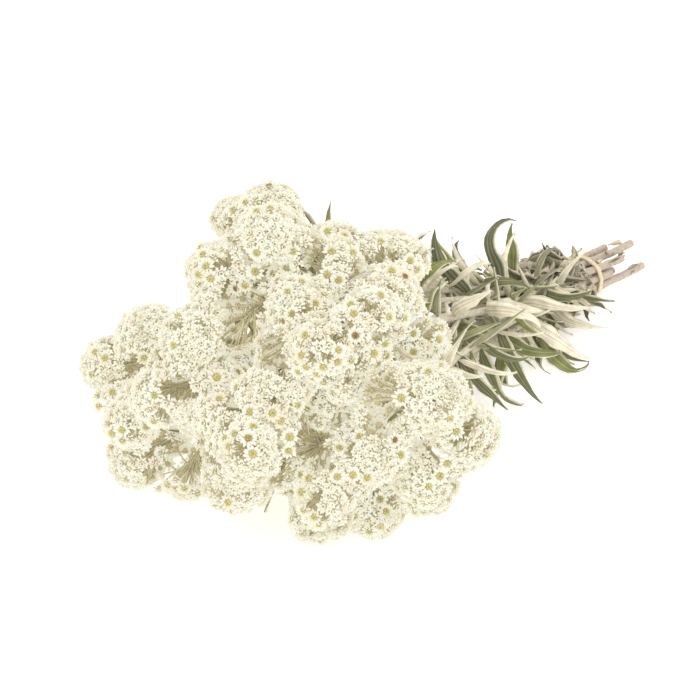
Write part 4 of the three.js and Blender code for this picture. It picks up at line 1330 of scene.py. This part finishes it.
def elastic_rubber(colour):
    """Cream rubber with a faint grain along the band."""
    material, shader, tree = nodes_of("elastic_rubber")
    place = tree.nodes.new("ShaderNodeTexCoord")
    grain = noise(tree, place.outputs["Object"], 350, 5.0)
    dark = tuple(0.82 * c for c in colour)
    link(tree, ramp(tree, grain, [(0.3, dark), (0.7, tuple(colour))]), shader.inputs["Base Color"])
    shader.inputs["Roughness"].default_value = 0.5
    bump(tree, shader, grain, 0.25, 0.0003)
    return material


# Settings


def length_setting(name, text, default):
    """A length that a user would change, in metres."""
    return bpy.props.FloatProperty(
        name=name, description=text, default=default, min=0, subtype="DISTANCE", unit="LENGTH"
    )


def colour_setting(name, text, default):
    """A colour that a user would change."""
    return bpy.props.FloatVectorProperty(
        name=name, description=text, default=default, size=3, min=0, max=1, subtype="COLOR"
    )


def share_setting(name, text, default):
    """A share from 0 to 1 that a user would change."""
    return bpy.props.FloatProperty(
        name=name, description=text, default=default, min=0, max=1, subtype="FACTOR"
    )


def count_setting(name, text, default, least=0):
    """A number of things that a user would change."""
    return bpy.props.IntProperty(name=name, description=text, default=default, min=least)


def angle_setting(name, text, degrees):
    """An angle that a user would change; its default is given in degrees."""
    return bpy.props.FloatProperty(
        name=name, description=text, default=math.radians(degrees), subtype="ANGLE"
    )


class HeadSettings(bpy.types.PropertyGroup):
    clumps: count_setting("Clumps", "Places tried for clumps on a tuft", 60, 4)
    clump_radius: length_setting("Clump radius", "Radius of a usual clump", 0.0125)
    heads: count_setting("Heads", "Flower heads tried on a usual clump", 36, 6)
    spacing: share_setting("Spacing", "How far apart heads keep, as a share of their reaches together", 0.84)
    sink: length_setting("Sink", "How far inside the tufts' tips the clumps stand", 0.001)
    blend: length_setting("Blend", "How softly the tufts run together", 0.0045)
    open_radius: length_setting("Open head radius", "Reach of an open head's bracts", 0.0046)
    half_radius: length_setting("Half-open head radius", "Reach of a half-open head's bracts", 0.0034)
    bud_radius: length_setting("Bud radius", "Reach of a closed head", 0.0027)
    open_share: share_setting("Open share", "Share of the heads that are open", 0.14)
    bud_share: share_setting("Bud share", "Share of the heads that are closed", 0.20)
    bract: colour_setting("Bract", "Papery bracts", (0.537, 0.538, 0.474))
    bract_old: colour_setting("Old bract", "Bracts of faded heads", (0.51, 0.465, 0.375))
    # Partly painted shade: the bract foot is darker and warmer than the bract, for the shade deep inside a
    # head.
    bract_foot: colour_setting("Bract foot", "Foot of the bracts", (0.48, 0.455, 0.34))
    cup: colour_setting("Cup", "Woolly cup under a head", (0.84, 0.75, 0.49))
    disc: colour_setting("Disc", "Ring of open florets", (0.95, 0.87, 0.36))
    disc_middle: colour_setting("Disc middle", "Unopened florets", (0.72, 0.57, 0.18))
    disc_old: colour_setting("Old disc", "Faded florets", (0.45, 0.28, 0.10))
    pinhole: colour_setting("Pinhole", "Closed florets deep inside a half-open head", (0.74, 0.71, 0.46))
    stalk: colour_setting("Stalk", "Fine stalks under the heads", (0.86, 0.79, 0.53))


class StemSettings(bpy.types.PropertyGroup):
    blade: length_setting("Blade", "Thickness of a leaf", 0.0006)
    neck_leaves: count_setting("Neck leaves", "Finer leaves round the neck", 11)
    bundle_leaves: count_setting("Bundle leaves", "Crumpled leaves along the bundle", 12)
    crevice_leaves: count_setting("Crevice leaves", "Long leaves between the tufts", 3)
    stubs: count_setting("Stubs", "Shrivelled leaves near the cut end", 6)
    hairs: count_setting("Hairs", "Loose woolly hairs on each stem", 420)
    leaf_top: colour_setting("Leaf top", "Fresh upper side", (0.26, 0.31, 0.06))
    leaf_dark: colour_setting("Dark leaf top", "Shaded upper side", (0.08, 0.10, 0.04))
    leaf_dry: colour_setting("Dried leaf top", "Upper side of the lower leaves", (0.09, 0.095, 0.055))
    leaf_under: colour_setting("Leaf underside", "Felted underside", (0.95, 0.90, 0.75))
    leaf_under_dry: colour_setting("Dried underside", "Underside of the lower leaves", (0.76, 0.68, 0.55))
    stem: colour_setting("Stem", "Woolly stem near the heads", (0.80, 0.74, 0.60))
    stem_low: colour_setting("Stem foot", "Stem near its cut end", (0.62, 0.52, 0.43))
    pith: colour_setting("Pith", "Middle of a cut end", (0.84, 0.77, 0.63))
    wool: colour_setting("Wool", "Loose hairs", (0.88, 0.84, 0.74))


class BandSettings(bpy.types.PropertyGroup):
    rubber: colour_setting("Rubber", "Elastic band", (0.80, 0.70, 0.50))
    slack: length_setting("Slack", "How far the band's edges waver", 0.00025)


class StageSettings(bpy.types.PropertyGroup):
    floor: colour_setting("Floor", "Pale surface", (0.93, 0.93, 0.93))
    azimuth: angle_setting("Azimuth", "Camera's turn round the bunch", -47)
    elevation: angle_setting("Elevation", "Camera's height above the horizon", 33)
    distance: length_setting("Distance", "From the camera to what it aims at", 1.2)
    view_width: length_setting("View width", "Width of the picture at that distance", 0.3491)


class BunchSettings(bpy.types.PropertyGroup):
    heads: bpy.props.PointerProperty(type=HeadSettings, name="Heads", description="Flower heads")
    stems: bpy.props.PointerProperty(type=StemSettings, name="Stems", description="Stems and leaves")
    band: bpy.props.PointerProperty(type=BandSettings, name="Band", description="Elastic band")
    stage: bpy.props.PointerProperty(type=StageSettings, name="Stage", description="Floor, light and camera")


def values(group):
    """The group's settings by name: lengths in millimetres and colours as arrays."""
    found = {}
    for name, prop in group.bl_rna.properties.items():
        if name in ("rna_type", "name"):
            continue
        value = getattr(group, name)
        if prop.subtype == "COLOR":
            value = np.array(value[:])
        elif prop.subtype == "DISTANCE":
            value = value * 1000
        found[name] = value
    return found


# The layout, once it is worked out.
PLAN = {}


def plan():
    """The bunch's layout, worked out once: tufts, stems, leaves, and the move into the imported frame."""
    if not PLAN:
        tufts = lay_out_tufts()
        stems = lay_out_stems(tufts)
        low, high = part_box("elastic_band")
        shift = np.array([
            (low.x + high.x) * 500 - BAND_PLACE,
            (low.y + high.y) * 500 - solid_band_middle(stems),
            0.0,
        ])
        PLAN.update(tufts=tufts, stems=stems, leaves=grow_leaves(stems, tufts), shift=shift)
    return PLAN["tufts"], PLAN["stems"], PLAN["leaves"], PLAN["shift"]


# The plant materials, once they are made.
MATERIALS = {}


def plant_materials():
    """The five plant materials, in the order of their numbers."""
    if not MATERIALS:
        MATERIALS.update(
            stalk=woolly_stalk("woolly_stalk", 0.0),
            bract=papery_bract(),
            disc=disc_florets(),
            leaf=leaf_blade(),
            # The cups, stalks, branches and necks among the heads get a painted glow, which lifts the shade
            # between the heads.
            cup=woolly_stalk("woolly_cup", 0.10),
        )
    return list(MATERIALS.values())


class BUNCH_OT_corymbs(bpy.types.Operator):
    """Makes the corymbs: flower heads on fine stalks and branches"""

    bl_idname = "bunch.corymbs"
    bl_label = "Corymbs"

    def execute(self, context):
        s = values(context.scene.bunch.heads)
        tufts, stems, _, shift = plan()
        clumps = lay_out_clumps(tufts, s)
        for i, stem in enumerate(stems):
            heap = corymb_heap(i, stem, tufts, clumps, s)
            piece = heap.piece(f"flower_heads_{i + 1:02d}", plant_materials(), shift)
            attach(piece, "root")
            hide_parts(f"corymb_{i + 1:02d}")
        return {"FINISHED"}


class BUNCH_OT_leafy_stems(bpy.types.Operator):
    """Makes the stems with their leaves and wool"""

    bl_idname = "bunch.leafy_stems"
    bl_label = "Leafy stems"

    def execute(self, context):
        s = values(context.scene.bunch.stems)
        tufts, stems, leaves, shift = plan()
        room = [1000 * np.array(corner) - shift for corner in CAD_BOX]
        for i, stem in enumerate(stems):
            own = [leaf for leaf in leaves if leaf["stem"] == i]
            heap = stem_heap(stem, i, own, tufts, room, s)
            piece = heap.piece(f"stem_and_leaves_{i + 1:02d}", plant_materials(), shift)
            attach(piece, "root")
            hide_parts(f"leafy_stem_{i + 1:02d}")
        return {"FINISHED"}


class BUNCH_OT_band(bpy.types.Operator):
    """Makes the elastic band round the stems"""

    bl_idname = "bunch.band"
    bl_label = "Elastic band"

    def execute(self, context):
        s = values(context.scene.bunch.band)
        _, stems, _, shift = plan()
        piece = band_heap(stems, s).piece("elastic_loop", [elastic_rubber(s["rubber"])], shift)
        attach(piece, "root")
        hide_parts("elastic_band")
        return {"FINISHED"}


# The picture's size in pixels, a place in the flower mass, in millimetres, and the pixel that it is seen at.
PICTURE = 700
SPOT = (-205.0, 0.0, 80.0)
SPOT_PIXEL = (282, 351)

# The lamps: name, place and size in metres, and power. They point at LAMP_AIM.
LAMPS = (
    ("key", (-0.9, -0.5, 1.5), 1.6, 11),
    ("fill", (0.9, -1.1, 1.0), 1.6, 6),
    ("back", (0.5, 1.2, 1.1), 1.4, 5),
)
LAMP_AIM = (-0.05, 0, 0.06)
SENSOR = 36


class BUNCH_OT_stage(bpy.types.Operator):
    """Makes the pale floor, the soft light and the camera"""

    bl_idname = "bunch.stage"
    bl_label = "Stage"

    def execute(self, context):
        s = values(context.scene.bunch.stage)
        scene = context.scene
        mesh = bpy.data.meshes.new("floor")
        mesh.from_pydata([(-3, -3, 0), (3, -3, 0), (3, 3, 0), (-3, 3, 0)], [], [(0, 1, 2, 3)])
        floor = bpy.data.objects.new("floor", mesh)
        scene.collection.objects.link(floor)
        material, shader, _ = nodes_of("pale_floor")
        shader.inputs["Base Color"].default_value = (*s["floor"], 1)
        shader.inputs["Roughness"].default_value = 0.9
        shader.inputs["Emission Color"].default_value = (1, 1, 1, 1)
        shader.inputs["Emission Strength"].default_value = 0.4
        mesh.materials.append(material)
        world = bpy.data.worlds.new("studio")
        world.use_nodes = True
        sky = world.node_tree.nodes["Background"].inputs
        sky["Color"].default_value = (1, 0.96, 0.86, 1)
        sky["Strength"].default_value = 0.86
        scene.world = world
        for name, place, size, power in LAMPS:
            lamp = bpy.data.lights.new(name, "AREA")
            lamp.energy, lamp.size = power, size
            thing = bpy.data.objects.new(name, lamp)
            scene.collection.objects.link(thing)
            aim = np.array(LAMP_AIM) - place
            thing.location = place
            thing.rotation_euler = Vector(aim).to_track_quat("-Z", "Y").to_euler()
        a, e = s["azimuth"], s["elevation"]
        back = np.array([math.sin(a) * math.cos(e), -math.cos(a) * math.cos(e), math.sin(e)])
        right = np.array([math.cos(a), math.sin(a), 0])
        up = np.cross(back, right)
        pixel = s["view_width"] / PICTURE
        across, down = SPOT_PIXEL
        aim = np.array(SPOT) + plan()[3]
        aim = aim + right * (PICTURE / 2 - across) * pixel + up * (down - PICTURE / 2) * pixel
        camera = bpy.data.cameras.new("camera")
        camera.sensor_width = SENSOR
        camera.lens = SENSOR * s["distance"] / s["view_width"]
        camera.clip_start, camera.clip_end = 0.05, 20
        thing = bpy.data.objects.new("camera", camera)
        scene.collection.objects.link(thing)
        thing.location = (aim + back * s["distance"]) / 1000
        thing.rotation_euler = Vector(-back).to_track_quat("-Z", "Y").to_euler()
        scene.camera = thing
        scene.view_settings.view_transform = "Standard"
        return {"FINISHED"}


class BUNCH_PT_panel(bpy.types.Panel):
    """Lists the bunch's settings and makers"""

    bl_idname = "BUNCH_PT_panel"
    bl_label = "Pearly everlasting bunch"
    bl_space_type = "VIEW_3D"
    bl_region_type = "UI"
    bl_category = "Bunch"

    def draw(self, context):
        bunch = context.scene.bunch
        for maker, group in (
            ("corymbs", bunch.heads),
            ("leafy_stems", bunch.stems),
            ("band", bunch.band),
            ("stage", bunch.stage),
        ):
            box = self.layout.box()
            box.operator(f"bunch.{maker}")
            for name in group.bl_rna.properties.keys():
                if name not in ("rna_type", "name"):
                    box.prop(group, name)


CLASSES = (
    HeadSettings,
    StemSettings,
    BandSettings,
    StageSettings,
    BunchSettings,
    BUNCH_OT_corymbs,
    BUNCH_OT_leafy_stems,
    BUNCH_OT_band,
    BUNCH_OT_stage,
    BUNCH_PT_panel,
)


def register():
    """Registers the classes and hangs the bunch's settings on the scene."""
    for item in CLASSES:
        bpy.utils.register_class(item)
    bpy.types.Scene.bunch = bpy.props.PointerProperty(
        type=BunchSettings, name="Bunch", description="Settings of the bunch"
    )


def unregister():
    """Takes back what register did."""
    del bpy.types.Scene.bunch
    for item in reversed(CLASSES):
        bpy.utils.unregister_class(item)


def main():
    """Registers the add-on and makes the stage and every piece."""
    register()
    bpy.ops.bunch.stage()
    bpy.ops.bunch.corymbs()
    bpy.ops.bunch.leafy_stems()
    bpy.ops.bunch.band()


if __name__ == "__main__":
    main()
